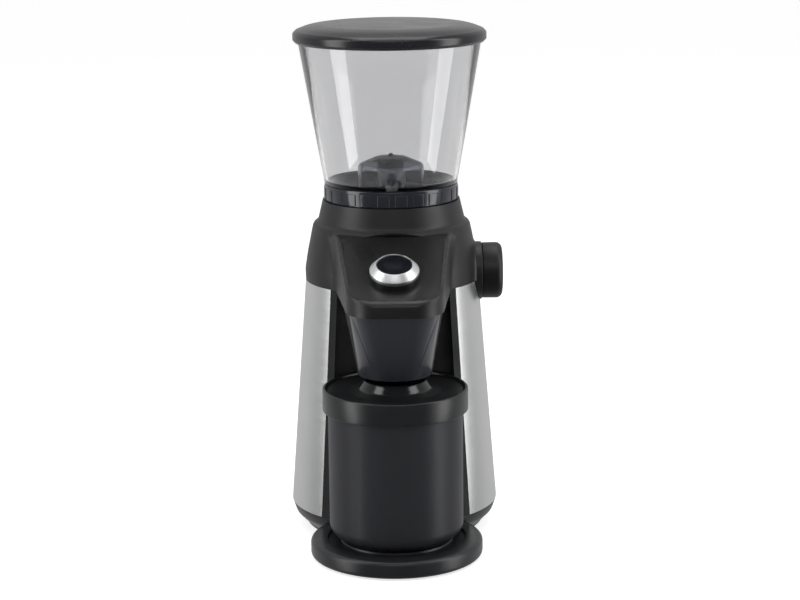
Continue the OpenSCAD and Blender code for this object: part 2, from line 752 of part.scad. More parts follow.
module gear_plan(teeth) {
    pitch_r = gear_module * teeth / 2;
    base_r = pitch_r * cos(pressure_angle);
    tip_r = pitch_r + gear_module * tooth_addendum;
    root_r = pitch_r - gear_module * tooth_dedendum;
    half = 90 / teeth - tooth_backlash / 2 / pitch_r * 180 / PI / 2;
    start_r = max(base_r, root_r) + eps;
    steps = 4;
    flank = [for (i = [0:steps]) let (r = start_r + (tip_r - start_r) * i / steps)
        [r, half + involute_angle(pitch_r, base_r) - involute_angle(r, base_r)]];
    foot = [root_r, flank[0][1] + 0.1];
    side = concat([foot], flank);
    polygon([for (t = [0:teeth - 1], s = [-1, 1], i = [0:steps + 1])
        let (p = side[s < 0 ? i : steps + 1 - i], a = t * 360 / teeth + s * p[1])
        p[0] * [cos(a), sin(a)]]);
}

// Gear with one tooth, or one gap, that points along an angle
module gear(teeth, height, points_at, gap_first = false)
    rotate(points_at + (gap_first ? 180 / teeth : 0)) linear_extrude(height) gear_plan(teeth);

module bore(r, height) translate([0, 0, -overcut]) cylinder(r = r, h = height + 2 * overcut);

stage1_z = pinion_z0 + 1;
stage2_z = stage1_z + wheel_h + stage_gap;

module motor_pinion() color("#b08d3c") translate([0, 0, pinion_z0]) difference() {
    gear(pinion_teeth, wheel_h + 2, 90);
    bore(2.5, wheel_h + 2);
}

module idler_gear() color("#d8d3c4") translate([0, center_dist, stage1_z]) difference() {
    union() {
        gear(idler_teeth, wheel_h, -90, true);
        translate([0, 0, wheel_h / 2]) gear(idler_pinion_teeth, wheel_h * 1.5 + 2 * stage_gap, -90);
    }
    bore(3 + run_gap, 2 * wheel_h + 2 * stage_gap);
}

module output_gear() color("#b9bbbe") translate([0, 0, stage2_z]) difference() {
    gear(output_teeth, wheel_h, 90, true);
    bore(shaft_r, wheel_h);
}

module idler_pin() color("#c3c5c8") translate([0, center_dist, case_z0 + 1])
    cylinder(r = 3, h = case_h + cover_t - 2);

module gear_case_outline(inset) {
    circle(r = gear_module * output_teeth / 2 + case_clear + case_wall - inset);
    translate([0, center_dist])
        circle(r = gear_module * idler_teeth / 2 + case_clear + case_wall - inset);
}

// Lugs for the screws, joined to the middle by straight webs
module case_lugs() for (p = case_screw_places) {
    translate(p) circle(r = 4.5);
    rotate(atan2(p[1], p[0])) translate([0, -4]) square([norm(p), 8]);
}

module gear_case() color("#303135") difference() {
    union() {
        between(case_z0, case_z1) gear_case_outline(0);
        between(case_z1 - 10, case_z1) case_lugs();
    }
    between(case_z0 + case_plate, case_z1 + overcut) gear_case_outline(case_wall);
    translate([0, 0, case_z0 - 1]) cylinder(r = 7, h = 10);
    translate([0, center_dist, case_z0 + 1]) cylinder(r = 3, h = 10);
    for (x = [-1, 1]) translate([x * motor_screw_circle, 0, case_z0 - 1])
        cylinder(r = screw_r + seat_gap, h = 10);
    for (p = case_screw_places) translate([p[0], p[1], case_z1 - 9]) cylinder(r = screw_r, h = 10);
}

module gear_case_cover() color("#393a3f") difference() {
    union() {
        between(case_z1, case_z1 + cover_t) {
            gear_case_outline(0);
            case_lugs();
        }
        translate([0, 0, case_z1]) cylinder(r = boss_r, h = cover_t + tower_deck_t - seat_gap);
    }
    translate([0, 0, case_z1 - 1]) cylinder(r = bush_r, h = 20);
    translate([0, center_dist, case_z1 - 1]) cylinder(r = 3, h = cover_t);
    for (p = case_screw_places) translate([p[0], p[1], case_z1 - 1])
        cylinder(r = screw_r + seat_gap, h = cover_t + 2);
}

module case_screws() color("#b8babd") for (p = case_screw_places)
    translate([p[0], p[1], tower_z1 + 1.7]) screw(screw_r - 0.05, 2.8, 1.6, 14);

module shaft_bush() color("#b58a4a")
    tube(bush_r - 0.005, shaft_r + run_gap, case_z1 + 0.2, tower_z1 - seat_gap);

module burr_shaft() color("#c3c5c8") translate([0, 0, stage2_z])
    cylinder(r = shaft_r - 0.005, h = burr_z0 + burr_h + 5 - stage2_z);

// ---- Grinding chamber and burrs ----

module shaft_bearing() color("#aeb1b5")
    tube(bearing_r - 0.02, shaft_r + run_gap, chamber_z0 + chamber_floor,
        chamber_z0 + chamber_floor + bearing_h);

module port(grow, y0, y1) translate([-duct_half - grow, y0, duct_z0 - grow])
    cube([2 * (duct_half + grow), y1 - y0, duct_h + 2 * grow]);

module grinding_chamber() color("#4a4c50") difference() {
    union() {
        translate([0, 0, chamber_z0]) cylinder(r = chamber_r + chamber_wall, h = chamber_h);
        for (a = chamber_feet) rotate(a) translate([chamber_r + chamber_wall + 2, 0, chamber_z0])
            cylinder(r = 5, h = 4);
    }
    translate([0, 0, chamber_z0 + chamber_floor]) cylinder(r = bearing_r, h = bearing_h + 1);
    translate([0, 0, chamber_z0 + chamber_floor + bearing_h]) cylinder(r = chamber_r, h = chamber_h);
    translate([0, 0, chamber_z0 - 1]) cylinder(r = shaft_r + 1.5, h = 10);
    port(0, -chamber_r - chamber_wall - 1, -chamber_r + 6);
    for (a = [0:120:240]) rotate(a + 30) translate([chamber_r - 1, -2.2, chamber_z0 + chamber_h - key_slot_h])
        cube([2.8, 4.4, key_slot_h + 1]);
    for (a = chamber_feet) rotate(a) translate([chamber_r + chamber_wall + 2.6, 0, chamber_z0 - 1])
        cylinder(r = screw_r + seat_gap, h = 6);
}

module chamber_screws() color("#b8babd") for (a = chamber_feet) rotate(a)
    translate([chamber_r + chamber_wall + 2.6, 0, chamber_z0 + 5.7])
        screw(screw_r - 0.05, 2.3, 1.6, 5.6);

duct_t = 1.4;
duct_y1 = -82;
drop_y0 = duct_y1 + 18;
module exit_duct() color("#1e1f22") difference() {
    union() {
        port(duct_t, duct_y1, -20);
        translate([-duct_half - duct_t, duct_y1, housing_z0])
            cube([2 * (duct_half + duct_t), drop_y0 - duct_y1, duct_z0 - housing_z0]);
    }
    port(0, duct_y1 + duct_t, -15);
    translate([-duct_half, duct_y1 + duct_t, housing_z0 - 1])
        cube([2 * duct_half, drop_y0 - duct_y1 - 2 * duct_t, duct_z0 - housing_z0 + 2]);
    // Keeps the round seat against the chamber
    cylinder(r = chamber_r + chamber_wall + seat_gap, h = 2 * steel_z1);
}

module impeller() color("#d8d3c4") difference() {
    translate([0, 0, impeller_z0]) {
        cylinder(r = impeller_r, h = 2);
        cylinder(r = 11, h = impeller_h);
        for (a = [0:60:300]) rotate(a) translate([9, -1.2, 0]) cube([impeller_r - 10, 2.4, impeller_h - 1]);
    }
    translate([0, 0, impeller_z0 - 1]) cylinder(r = shaft_r, h = impeller_h + 2);
}

module cone_burr() color("#9fa2a6") difference() {
    translate([0, 0, burr_z0]) {
        cylinder(r1 = burr_r, r2 = burr_top_r, h = burr_h - 1);
        translate([0, 0, burr_h - 1 - eps]) cylinder(r = burr_top_r, h = 1);
    }
    translate([0, 0, burr_z0 - 1]) cylinder(r = shaft_r, h = burr_h + 2);
    slope = atan((burr_r - burr_top_r) / (burr_h - 1));
    for (a = [0:30:330]) rotate(a) translate([burr_r, 0, burr_z0]) rotate([20, -slope, 0])
        translate([-1.2, -1, -4]) cube([4, 2, burr_h + 10]);
}

module burr_nut() color("#c3c5c8") difference() {
    translate([0, 0, burr_z0 + burr_h + eps]) cylinder(r = 7, h = 4.4, $fn = 6);
    translate([0, 0, burr_z0 + burr_h - 1]) cylinder(r = shaft_r, h = 8);
}

module ring_burr() color("#9fa2a6") difference() {
    translate([0, 0, ring_burr_z0]) cylinder(r = ring_burr_r, h = ring_burr_h);
    translate([0, 0, ring_burr_z0 - eps])
        cylinder(r1 = burr_r + burr_gap, r2 = ring_burr_top_r, h = ring_burr_h + 2 * eps);
    for (a = [0:20:340]) rotate(a) translate([ring_burr_top_r, -0.8, ring_burr_z0 + 5])
        rotate([0, 0, 12]) cube([2, 1.6, ring_burr_h]);
    for (a = [10:120:250]) rotate(a) translate([burr_screw_circle, 0, ring_burr_z0 + ring_burr_h - 7])
        cylinder(r = screw_r, h = 8);
}

carrier_ring_z = ring_burr_z0 + ring_burr_h;
module burr_carrier() color("#2c2d31") difference() {
    union() {
        translate([0, 0, ring_burr_z0]) cylinder(r = chamber_r - slide_gap, h = ring_burr_h + eps);
        translate([0, 0, carrier_ring_z]) cylinder(r = carrier_flange_r, h = carrier_z1 - carrier_ring_z);
        for (a = [0:120:240]) rotate(a + 30)
            translate([chamber_r - 2, -1.8, carrier_ring_z - lug_drop]) cube([3.4, 3.6, lug_drop + 1]);
    }
    translate([0, 0, ring_burr_z0 - 1]) cylinder(r = ring_burr_r + 0.03, h = ring_burr_h + 1);
    translate([0, 0, carrier_ring_z - 1]) cylinder(r = carrier_throat_r - 2.5, h = 20);
    translate([0, 0, carrier_ring_z + 3])
        cylinder(r1 = 27, r2 = 33, h = carrier_z1 - carrier_ring_z - 3 + eps);
    for (a = [10:120:250]) rotate(a) translate([burr_screw_circle, 0, carrier_ring_z - 1])
        cylinder(r = screw_r + seat_gap, h = 6);
}

module burr_screws() color("#b8babd") for (a = [10:120:250]) rotate(a)
    translate([burr_screw_circle, 0, carrier_ring_z + 4.4]) screw(screw_r - 0.05, 2.6, 1.4, 10);

// ---- Adjusting ring, hopper and lid ----

grip_count = 24;
ring_floor_z = ring_z0 + 2.5;
module adjust_ring() color("#2a2b33") difference() {
    union() {
        translate([0, 0, ring_z0]) cylinder(r = hopper_r0 + 0.1, h = ring_h - 1.2);
        translate([0, 0, ring_z0 + ring_h - 1.2 - eps])
            cylinder(r1 = hopper_r0 + 0.1, r2 = hopper_r0 - 0.9, h = 1);
        translate([0, 0, carrier_ring_z + 1]) cylinder(r = skirt_r, h = ring_z0 - carrier_ring_z);
        for (i = [0:grip_count - 1]) rotate((i + 0.5) * 360 / grip_count)
            translate([hopper_r0 - 1, -4.4, ring_z0 + 0.6]) cube([1.7, 8.8, ring_h - 3.6]);
    }
    translate([0, 0, carrier_ring_z])
        cylinder(r = carrier_flange_r + slide_gap, h = ring_z0 - carrier_ring_z);
    translate([0, 0, ring_z0 - 2]) cylinder(r = 27, h = 20);
    translate([0, 0, ring_floor_z]) cylinder(r = hopper_r0 - 4.4, h = 20);
}

module hopper_switch() color("#3a3b3f") {
    translate([-5, 48.5, housing_z0 + 20]) cube([10, 6.5, 20]);
    translate([-1.5, 47.6, housing_z0 + 36]) cube([3, 1, 9]);
    translate([-6, 42, housing_z0 + 16]) cube([12, 13, 4]);
    translate([-6, 42, tower_z1]) cube([12, 5, housing_z0 + 16 - tower_z1 + eps]);
}

spigot_r = hopper_r0 - 4.4 - slide_gap;
hopper_floor_t = 2.4;
module hopper() color("#d9dce0", 0.5) rotate_extrude() polygon([
    [throat_r, ring_floor_z + 0.4], [spigot_r, ring_floor_z + 0.4], [spigot_r, hopper_z0 + 0.1],
    [hopper_r0, hopper_z0 + 0.1], [hopper_r1, hopper_z1], [hopper_r1 - hopper_t, hopper_z1],
    [hopper_r0 - hopper_t, hopper_z0 + 2.6], [spigot_r - hopper_t, hopper_z0 + 0.6],
    [throat_r + 4, ring_floor_z + 0.4 + hopper_floor_t], [throat_r, ring_floor_z + 0.4 + hopper_floor_t]
]);

// Crown of the guard, which keeps fingers away from the burrs and lets beans in at its windows
module guard_block(inset, z0) {
    side_h = 13;
    dome_r = (pow(guard_r, 2) + pow(guard_h - side_h, 2)) / (2 * (guard_h - side_h));
    intersection() {
        translate([0, 0, z0]) cylinder(r = guard_r - inset, h = 60);
        translate([0, 0, hopper_z0 + guard_h - dome_r]) sphere(r = dome_r - inset);
    }
}

module hopper_guard() color("#787d86", 0.8) {
    foot_z = ring_floor_z + 0.4 + hopper_floor_t + seat_gap;
    window_z = foot_z + 3;
    difference() {
        union() {
            guard_block(0, foot_z);
            translate([0, 0, foot_z]) cylinder(r = throat_r + 3.4, h = 1.2);
        }
        guard_block(2, foot_z - 1);
        // Windows that let the beans in
        for (a = [45:90:315]) rotate(a) translate([10, -9, window_z])
            cube([guard_r, 18, hopper_z0 + guard_h - 8.5 - window_z]);
    }
    translate([0, 0, hopper_z0 + guard_h - 1]) cylinder(r = 1.6, h = 2.4);
    // Hub below the crown, which narrows downwards
    translate([0, 0, hopper_z0 - 2]) cylinder(r1 = 4, r2 = 13, h = guard_h + 0.5);
}

lid_z0 = hopper_z1 - 6;
lid_rim_z = lid_z0 + 9.2;
lid_r = hopper_r1 + 3;
lid_skirt_r = hopper_r1 + slide_gap;
module hopper_lid() color("#55565a") {
    top_r = lid_r - 2;
    crown_w = 16;
    crown_r = (pow(crown_w, 2) + pow(lid_crown, 2)) / (2 * lid_crown);
    crown = arc(top_r - crown_w, lid_rim_z + lid_crown - crown_r, crown_r, acos(crown_w / crown_r), 90);
    rotate_extrude() polygon(concat(
        [[0, lid_rim_z - 2], [plug_r - 2.2, lid_rim_z - 2], [plug_r - 2.2, plug_z0], [plug_r, plug_z0],
         [plug_r, hopper_z1 + 0.2], [lid_skirt_r, hopper_z1 + 0.2], [lid_skirt_r, lid_z0],
         [lid_r - 1.6, lid_z0], [lid_r, lid_z0 + 1.6], [lid_r, lid_rim_z - 2.4],
         [lid_r - 0.6, lid_rim_z - 0.8]],
        crown, [[0, lid_rim_z + lid_crown + 0.2]]
    ));
}

plug_z0 = lid_z0 + 0.5;
plug_r = hopper_r(plug_z0) - hopper_t - 1;
module lid_seal() color("#1b1b1c") tube(plug_r + 0.6, plug_r + 0.01, plug_z0 + 1.2, plug_z0 + 3.2);

// ---- Chute and bin ----

module chute_block(inset, drop, z_top) hull() {
    translate([0, 0, z_top - 0.5]) linear_extrude(0.5, $fn = 40) chute_opening(-inset);
    translate([0, -bin_reach, chute_z0 - drop]) cylinder(r = chute_r - inset, h = 0.5, $fn = 64);
}

module outlet_chute() color("#2b2c34") difference() {
    chute_block(0, 0, housing_z0 - seat_gap);
    chute_block(chute_t, 1, housing_z0 - seat_gap + eps);
    // The top end is straight inside, so it slips over the collar
    between(housing_z0 - collar_h - 1, housing_z0 + 1) chute_opening(-chute_t);
}

module grounds_bin() color("#3a3b42") translate([0, -bin_reach, 0]) {
    rotate_extrude() polygon(concat(
        [[0, bin_z0]],
        arc(bin_r - bin_round, bin_z0 + bin_round, bin_round, -90, 0, 8),
        [[bin_r, bin_z1 - 8], [bin_r + 0.8, bin_z1 - 8], [bin_r + 0.8, bin_z1 - 6], [bin_r, bin_z1 - 6],
         [bin_r, bin_z1], [bin_r - bin_t, bin_z1]],
        arc(bin_r - bin_round, bin_z0 + bin_round, bin_round - bin_t, 0, -90, 8),
        [[0, bin_z0 + bin_t]]
    ));
    tube(bin_foot_r, bin_foot_r - 3, deck_z + bin_lift, bin_z0 + 0.3);
}

bin_skirt_z = bin_z1 - 12.5;
module bin_lid() color("#2e3033") translate([0, -bin_reach, 0]) {
    floor_z = bin_z1 + 0.2;
    rotate_extrude() polygon([
        [bin_hole_r, floor_z], [bin_lid_r - bin_lid_t, floor_z], [bin_lid_r - bin_lid_t, bin_skirt_z],
        [bin_lid_r - 0.6, bin_skirt_z], [bin_lid_r, bin_skirt_z + 0.6], [bin_lid_r, bin_lid_z1 - 0.8],
        [bin_lid_r - 0.8, bin_lid_z1], [bin_lid_r - bin_lid_t, bin_lid_z1],
        [bin_lid_r - bin_lid_t - 1, floor_z + 2], [bin_collar_r + 11, floor_z + 2],
        [bin_collar_r + 4, floor_z + 4], [bin_collar_r, bin_collar_z], [bin_hole_r, bin_collar_z]
    ]);
}

// ---- Assembly ----

base_tray();
bottom_cover();
rubber_feet();
cover_screws();
inner_tower();
steel_shell();
cord_gland();
upper_housing();
housing_screws();
control_panel();
button_bezel();
micro_switch();
button_spring();
button_ring();
button_cap();
button_stem();
rotary_switch();
knob_spindle();
timer_knob();
knob_cap();
control_board();
board_parts();
motor_can();
motor_end_cap();
motor_magnets();
motor_damper();
motor_screws();
armature();
motor_shaft();
motor_pinion();
gear_case();
gear_case_cover();
case_screws();
idler_pin();
idler_gear();
output_gear();
burr_shaft();
shaft_bush();
shaft_bearing();
grinding_chamber();
chamber_screws();
exit_duct();
impeller();
cone_burr();
burr_nut();
ring_burr();
burr_carrier();
burr_screws();
adjust_ring();
hopper_switch();
hopper();
hopper_guard();
hopper_lid();
lid_seal();
outlet_chute();
grounds_bin();
bin_lid();
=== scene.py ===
from math import cos, pi, radians, sin, tan

import bmesh
import bpy
from mathutils import Matrix, Vector


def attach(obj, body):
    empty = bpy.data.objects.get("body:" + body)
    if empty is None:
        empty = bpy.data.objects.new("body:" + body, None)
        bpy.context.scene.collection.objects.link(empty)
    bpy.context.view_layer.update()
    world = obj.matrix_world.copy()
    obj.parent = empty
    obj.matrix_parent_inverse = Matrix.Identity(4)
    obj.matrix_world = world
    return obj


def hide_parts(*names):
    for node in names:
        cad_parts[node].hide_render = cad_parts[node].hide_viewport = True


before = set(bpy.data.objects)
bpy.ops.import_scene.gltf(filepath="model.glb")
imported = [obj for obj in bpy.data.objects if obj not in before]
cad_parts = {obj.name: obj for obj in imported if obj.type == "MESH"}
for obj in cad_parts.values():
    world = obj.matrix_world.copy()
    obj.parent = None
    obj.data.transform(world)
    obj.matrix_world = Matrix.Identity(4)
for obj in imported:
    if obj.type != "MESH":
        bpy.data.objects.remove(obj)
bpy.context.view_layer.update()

# ---- The room ----
# A pale floor that runs away behind the grinder, in a bright room that is darker on the
# camera's side, with one tall soft light on each side, one above and a small one over the camera.

mm = 0.001
scene = bpy.context.scene
scene.view_settings.view_transform = "Standard"


def linear(colour):
    """An sRGB hex colour as Blender's linear values."""
    parts = [int(colour[i:i + 2], 16) / 255 for i in (0, 2, 4)]
    return [c / 12.92 if c < 0.04045 else ((c + 0.055) / 1.055) ** 2.4 for c in parts] + [1]


def add(tree, kind, sockets, **settings):
    """A node with its settings. A socket's value is a constant, or an output to link."""
    made = tree.nodes.new("ShaderNode" + kind)
    for name, value in settings.items():
        setattr(made, name, value)
    for name, value in sockets.items():
        if isinstance(value, bpy.types.NodeSocket):
            tree.links.new(value, made.inputs[name])
        else:
            made.inputs[name].default_value = value
    return made


camera = bpy.data.objects.new("camera", bpy.data.cameras.new("camera"))
camera.data.lens = 101.25
camera.data.clip_end = 50
camera_yaw = radians(-1.1)
camera_pitch = radians(12.25)
camera_roll = radians(-0.6)
camera.matrix_world = (
    Matrix.Translation((-0.027, -1.718, 0.550))
    @ Matrix.Rotation(camera_yaw, 4, "Z")
    @ Matrix.Rotation(pi / 2 - camera_pitch, 4, "X")
    @ Matrix.Rotation(camera_roll, 4, "Z")
)
scene.collection.objects.link(camera)
scene.camera = camera

floor_mesh = bmesh.new()
bmesh.ops.create_grid(floor_mesh, x_segments=1, y_segments=1, size=12)
floor_data = bpy.data.meshes.new("floor")
floor_mesh.to_mesh(floor_data)
floor_mesh.free()
floor = bpy.data.objects.new("floor", floor_data)
scene.collection.objects.link(floor)
floor_paint = bpy.data.materials.new("white_studio_floor")
floor_paint.use_nodes = True
floor_shader = floor_paint.node_tree.nodes["Principled BSDF"]
floor_shader.inputs["Base Color"].default_value = linear("dedede")
floor_shader.inputs["Roughness"].default_value = 0.4
floor_shader.inputs["Emission Color"].default_value = (1, 1, 1, 1)
floor_shader.inputs["Emission Strength"].default_value = 0.7
floor_data.materials.append(floor_paint)
floor.visible_glossy = False

room = bpy.data.worlds.new("room")
room.use_nodes = True
scene.world = room
background = room.node_tree.nodes["Background"]
heading = add(room.node_tree, "TexCoord", {})
axes = add(room.node_tree, "SeparateXYZ", {"Vector": heading.outputs["Generated"]})
fade = add(room.node_tree, "MapRange", {
    "Value": axes.outputs["Y"], "From Min": -0.3, "From Max": 0.6, "To Min": 0.04, "To Max": 0.58})
path = add(room.node_tree, "LightPath", {})
level = add(room.node_tree, "Math", {0: fade.outputs[0], 1: path.outputs["Is Camera Ray"]},
            operation="MAXIMUM")
room.node_tree.links.new(level.outputs[0], background.inputs["Strength"])
background.inputs["Color"].default_value = (1, 1, 1, 1)


def soft_light(name, place, width, height, power):
    """A flat rectangle of light that faces the middle of the grinder."""
    lamp = bpy.data.objects.new(name, bpy.data.lights.new(name, "AREA"))
    lamp.data.shape = "RECTANGLE"
    lamp.data.size = width
    lamp.data.size_y = height
    lamp.data.energy = power
    aim = Vector((0, 0, 0.2)) - Vector(place)
    lamp.matrix_world = Matrix.Translation(place) @ aim.to_track_quat("-Z", "Y").to_matrix().to_4x4()
    scene.collection.objects.link(lamp)


soft_light("left_light", (-1.2, -0.48, 0.5), 0.55, 2.4, 15)
soft_light("right_light", (1.24, -0.36, 0.5), 0.55, 2.4, 15)
soft_light("top_light", (0, 0.2, 1.7), 1.2, 1.0, 12)
soft_light("front_light", (0, -1.3, 1.15), 1.1, 0.3, 3.5)

# ---- Base tray ----
# The foot of the grinder: a round step under the bin and a rim under the body, moulded as
# one in black ABS with a fine satin grain. A shallow ring in the step takes the bin's foot.


def outline(corners, closed=False):
    """A bmesh with one line in the x-z plane. A corner is (x, z) or (x, z, radius), in mm."""
    bm = bmesh.new()
    verts = [bm.verts.new((corner[0] * mm, 0, corner[1] * mm)) for corner in corners]
    ends = verts[1:] + verts[:1] if closed else verts[1:]
    for start, end in zip(verts, ends):
        bm.edges.new((start, end))
    for vert, corner in zip(verts, corners):
        if len(corner) > 2:
            before, after = [edge.other_vert(vert).co - vert.co for edge in vert.link_edges]
            turn = before.angle(after)
            bmesh.ops.bevel(
                bm, geom=[vert], offset=corner[2] * mm / tan(turn / 2), offset_type="OFFSET",
                segments=max(3, round(corner[2] * (pi - turn) * 1.5)), profile=0.5,
                affect="VERTICES", material=-1, clamp_overlap=False)
    return bm


def turned(corners, closed=False, steps=144):
    """A solid of revolution about z. An open line starts and ends on the axis."""
    bm = outline(corners, closed)
    bmesh.ops.spin(bm, geom=bm.verts[:] + bm.edges[:], cent=(0, 0, 0), axis=(0, 0, 1),
                   angle=2 * pi, steps=steps, use_merge=True)
    bmesh.ops.remove_doubles(bm, verts=bm.verts, dist=1e-6)
    bmesh.ops.recalc_face_normals(bm, faces=bm.faces)
    return bm


def prism(corners, z0, z1):
    """A plate with that closed outline in plan, from z0 to z1, in mm."""
    bm = outline(corners, closed=True)
    bmesh.ops.rotate(bm, verts=bm.verts, cent=(0, 0, 0), matrix=Matrix.Rotation(-pi / 2, 3, "X"))
    bmesh.ops.translate(bm, verts=bm.verts, vec=(0, 0, z0 * mm))
    face = bmesh.ops.contextual_create(bm, geom=bm.edges[:])["faces"]
    top = bmesh.ops.extrude_face_region(bm, geom=face, use_keep_orig=True)["geom"]
    bmesh.ops.translate(bm, verts=[v for v in top if isinstance(v, bmesh.types.BMVert)],
                        vec=(0, 0, (z1 - z0) * mm))
    bmesh.ops.recalc_face_normals(bm, faces=bm.faces)
    return bm


def block(low, high, round_r=0):
    """A box between two corners in mm, with its edges rounded."""
    size = [(b - a) * mm for a, b in zip(low, high)]
    middle = [(a + b) / 2 * mm for a, b in zip(low, high)]
    bm = bmesh.new()
    bmesh.ops.create_cube(bm, size=1)
    bmesh.ops.scale(bm, vec=size, verts=bm.verts)
    bmesh.ops.translate(bm, vec=middle, verts=bm.verts)
    if round_r:
        bmesh.ops.bevel(bm, geom=bm.edges[:], offset=round_r * mm, offset_type="OFFSET", segments=3,
                        profile=0.5, affect="EDGES", material=-1)
    return bm


def moved(bm, matrix):
    """The same bmesh after a turn or a move. A turn is in radians and a move in metres."""
    bmesh.ops.transform(bm, matrix=matrix, verts=bm.verts)
    return bm


def shift(x=0, y=0, z=0):
    """A move in mm."""
    return Matrix.Translation((x * mm, y * mm, z * mm))


def joined(*parts):
    """Several bmeshes in one, each still its own shell."""
    whole = bmesh.new()
    for part in parts:
        mesh = bpy.data.meshes.new("part")
        part.to_mesh(mesh)
        part.free()
        whole.from_mesh(mesh)
        bpy.data.meshes.remove(mesh)
    return whole


def worked(bm, kind, other=None, **settings):
    """The bmesh after one modifier. The other bmesh is what a Boolean cuts or joins with."""
    owners = []
    for part in (bm, other):
        if part:
            mesh = bpy.data.meshes.new("work")
            part.to_mesh(mesh)
            part.free()
            owners.append(bpy.data.objects.new("work", mesh))
            scene.collection.objects.link(owners[-1])
    modifier = owners[0].modifiers.new("work", kind)
    if other:
        modifier.object = owners[1]
    for name, value in settings.items():
        setattr(modifier, name, value)
    depsgraph = bpy.context.evaluated_depsgraph_get()
    result = bpy.data.meshes.new_from_object(owners[0].evaluated_get(depsgraph))
    done = bmesh.new()
    done.from_mesh(result)
    for owner in owners:
        mesh = owner.data
        bpy.data.objects.remove(owner)
        bpy.data.meshes.remove(mesh)
    bpy.data.meshes.remove(result)
    return done


def cut(bm, *cutters):
    """Takes the cutters away, one by one."""
    for cutter in cutters:
        bm = worked(bm, "BOOLEAN", cutter, operation="DIFFERENCE", solver="EXACT")
    return bm


def fused(bm, *others):
    """Joins the others on, one by one, into one closed shell."""
    for other in others:
        bm = worked(bm, "BOOLEAN", other, operation="UNION", solver="EXACT")
    return bm


def finish(name, colour, roughness, second=None, grain=0.9, depth=0.02, drift=0.05, **sockets):
    """A moulded, cast or ground surface: its colour drifts towards a second one over a few
    centimetres, its roughness by drift, and its grain has a size and a depth in mm."""
    material = bpy.data.materials.new(name)
    material.use_nodes = True
    tree = material.node_tree
    shader = tree.nodes["Principled BSDF"]
    place = add(tree, "TexCoord", {})
    cloud = add(tree, "TexNoise", {"Vector": place.outputs["Object"], "Scale": 45, "Detail": 3})
    shade = add(tree, "MixRGB", {
        "Fac": cloud.outputs[0], "Color1": linear(colour), "Color2": linear(second or colour)})
    gloss = add(tree, "MapRange", {
        "Value": cloud.outputs[0], "From Min": 0.3, "From Max": 0.7,
        "To Min": max(0.02, roughness - drift), "To Max": roughness + drift})
    pits = add(tree, "TexNoise", {"Vector": place.outputs["Object"], "Scale": 1 / (grain * mm), "Detail": 1})
    relief = add(tree, "Bump", {"Height": pits.outputs[0], "Distance": depth * mm, "Strength": 1})
    tree.links.new(shade.outputs[0], shader.inputs["Base Color"])
    tree.links.new(gloss.outputs[0], shader.inputs["Roughness"])
    tree.links.new(relief.outputs[0], shader.inputs["Normal"])
    for socket, value in sockets.items():
        shader.inputs[socket.replace("_", " ")].default_value = value
    return material


def piece(name, bm, material, slot, body, *nodes, crease=32):
    """The finished bmesh as a piece that rides on a body and stands for CAD nodes."""
    bmesh.ops.remove_doubles(bm, verts=bm.verts, dist=1e-6)
    bmesh.ops.dissolve_degenerate(bm, edges=bm.edges, dist=1e-6)
    mesh = bpy.data.meshes.new(name)
    bm.to_mesh(mesh)
    bm.free()
    mesh.shade_smooth()
    mesh.set_sharp_from_angle(angle=radians(crease))
    mesh.materials.append(material)
    made = bpy.data.objects.new(name, mesh)
    scene.collection.objects.link(made)
    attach(made, body)
    if nodes:
        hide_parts(*nodes)
    return made


def painted(made, material, z0, z1):
    """Gives the faces of a piece between two heights in mm a second material."""
    made.data.materials.append(material)
    for face in made.data.polygons:
        if z0 * mm < face.center.z < z1 * mm:
            face.material_index = 1


tray_z0 = 1
tray_r0 = 69.5
tray_bead_r = 78
tray_seat_r = 76.6
deck_z = 14
steel_z0 = 19
steel_z1 = 196
body_r_bottom = 80.8
body_r_top = 67.1
bin_y = -90
niche_r = 57
step_r = 65


def body_r(z):
    """Radius of the steel wrap at a height, in mm."""
    return body_r_bottom + (body_r_top - body_r_bottom) * (z - steel_z0) / (steel_z1 - steel_z0)


tray_abs = finish("satin_black_abs_tray", "1d1e20", 0.36, "222326", grain=1.1, depth=0.03)
step = turned([(0, tray_z0), (step_r, tray_z0, 3.4), (step_r, deck_z, 3.4), (52, deck_z, 0.5),
               (51.6, 12.4, 0.4), (42.6, 12.4, 0.4), (42.2, deck_z, 0.5), (0, deck_z)])
rim = turned([(0, tray_z0), (tray_r0, tray_z0, 0.8), (tray_r0, 2.5), (tray_bead_r, 11, 5), (80.7, 18.9, 0.6),
              (tray_seat_r, 18.9, 0.5), (tray_seat_r, deck_z), (0, deck_z)])
well = moved(turned([(0, deck_z), (niche_r, deck_z), (niche_r, 30), (0, 30)]), shift(y=bin_y))
hollow = turned([(0, 0), (66, 0), (66, 10.5), (0, 10.5)])
step_hollow = moved(turned([(0, 0), (61, 0), (61, 10.5), (0, 10.5)]), shift(y=bin_y))
ring_moat = moved(turned([(42.2, 14.2), (42.6, 12.4), (51.6, 12.4), (52, 14.2)], closed=True), shift(y=bin_y))
tray = cut(fused(moved(step, shift(y=bin_y)), rim), well, ring_moat, fused(hollow, step_hollow))
piece("base_tray_moulding", tray, tray_abs, "black_satin_plastic", "housing", "base_tray")

# ---- Feet and inlet ----
# Round rubber feet pressed through the bottom cover, and the rubber gland that lines the
# inlet low in the back of the steel wrap. The rubber is matt, with a slight bloom.

rubber = finish("black_natural_rubber", "121213", 0.75, "19191a", grain=0.7, depth=0.04)
foot_places = [(0, 0), (47, 30), (-47, 30), (38, -118), (-38, -118)]
feet = [
    moved(turned([(0, 0), (7.2, 0, 0.3), (8, 0.9, 0.2), (6, 0.9), (6, 3.4), (0, 3.4)], steps=48), shift(x, y))
    for x, y in foot_places
]
piece("rubber_foot_pads", joined(*feet), rubber, "rubber", "housing", "rubber_feet")

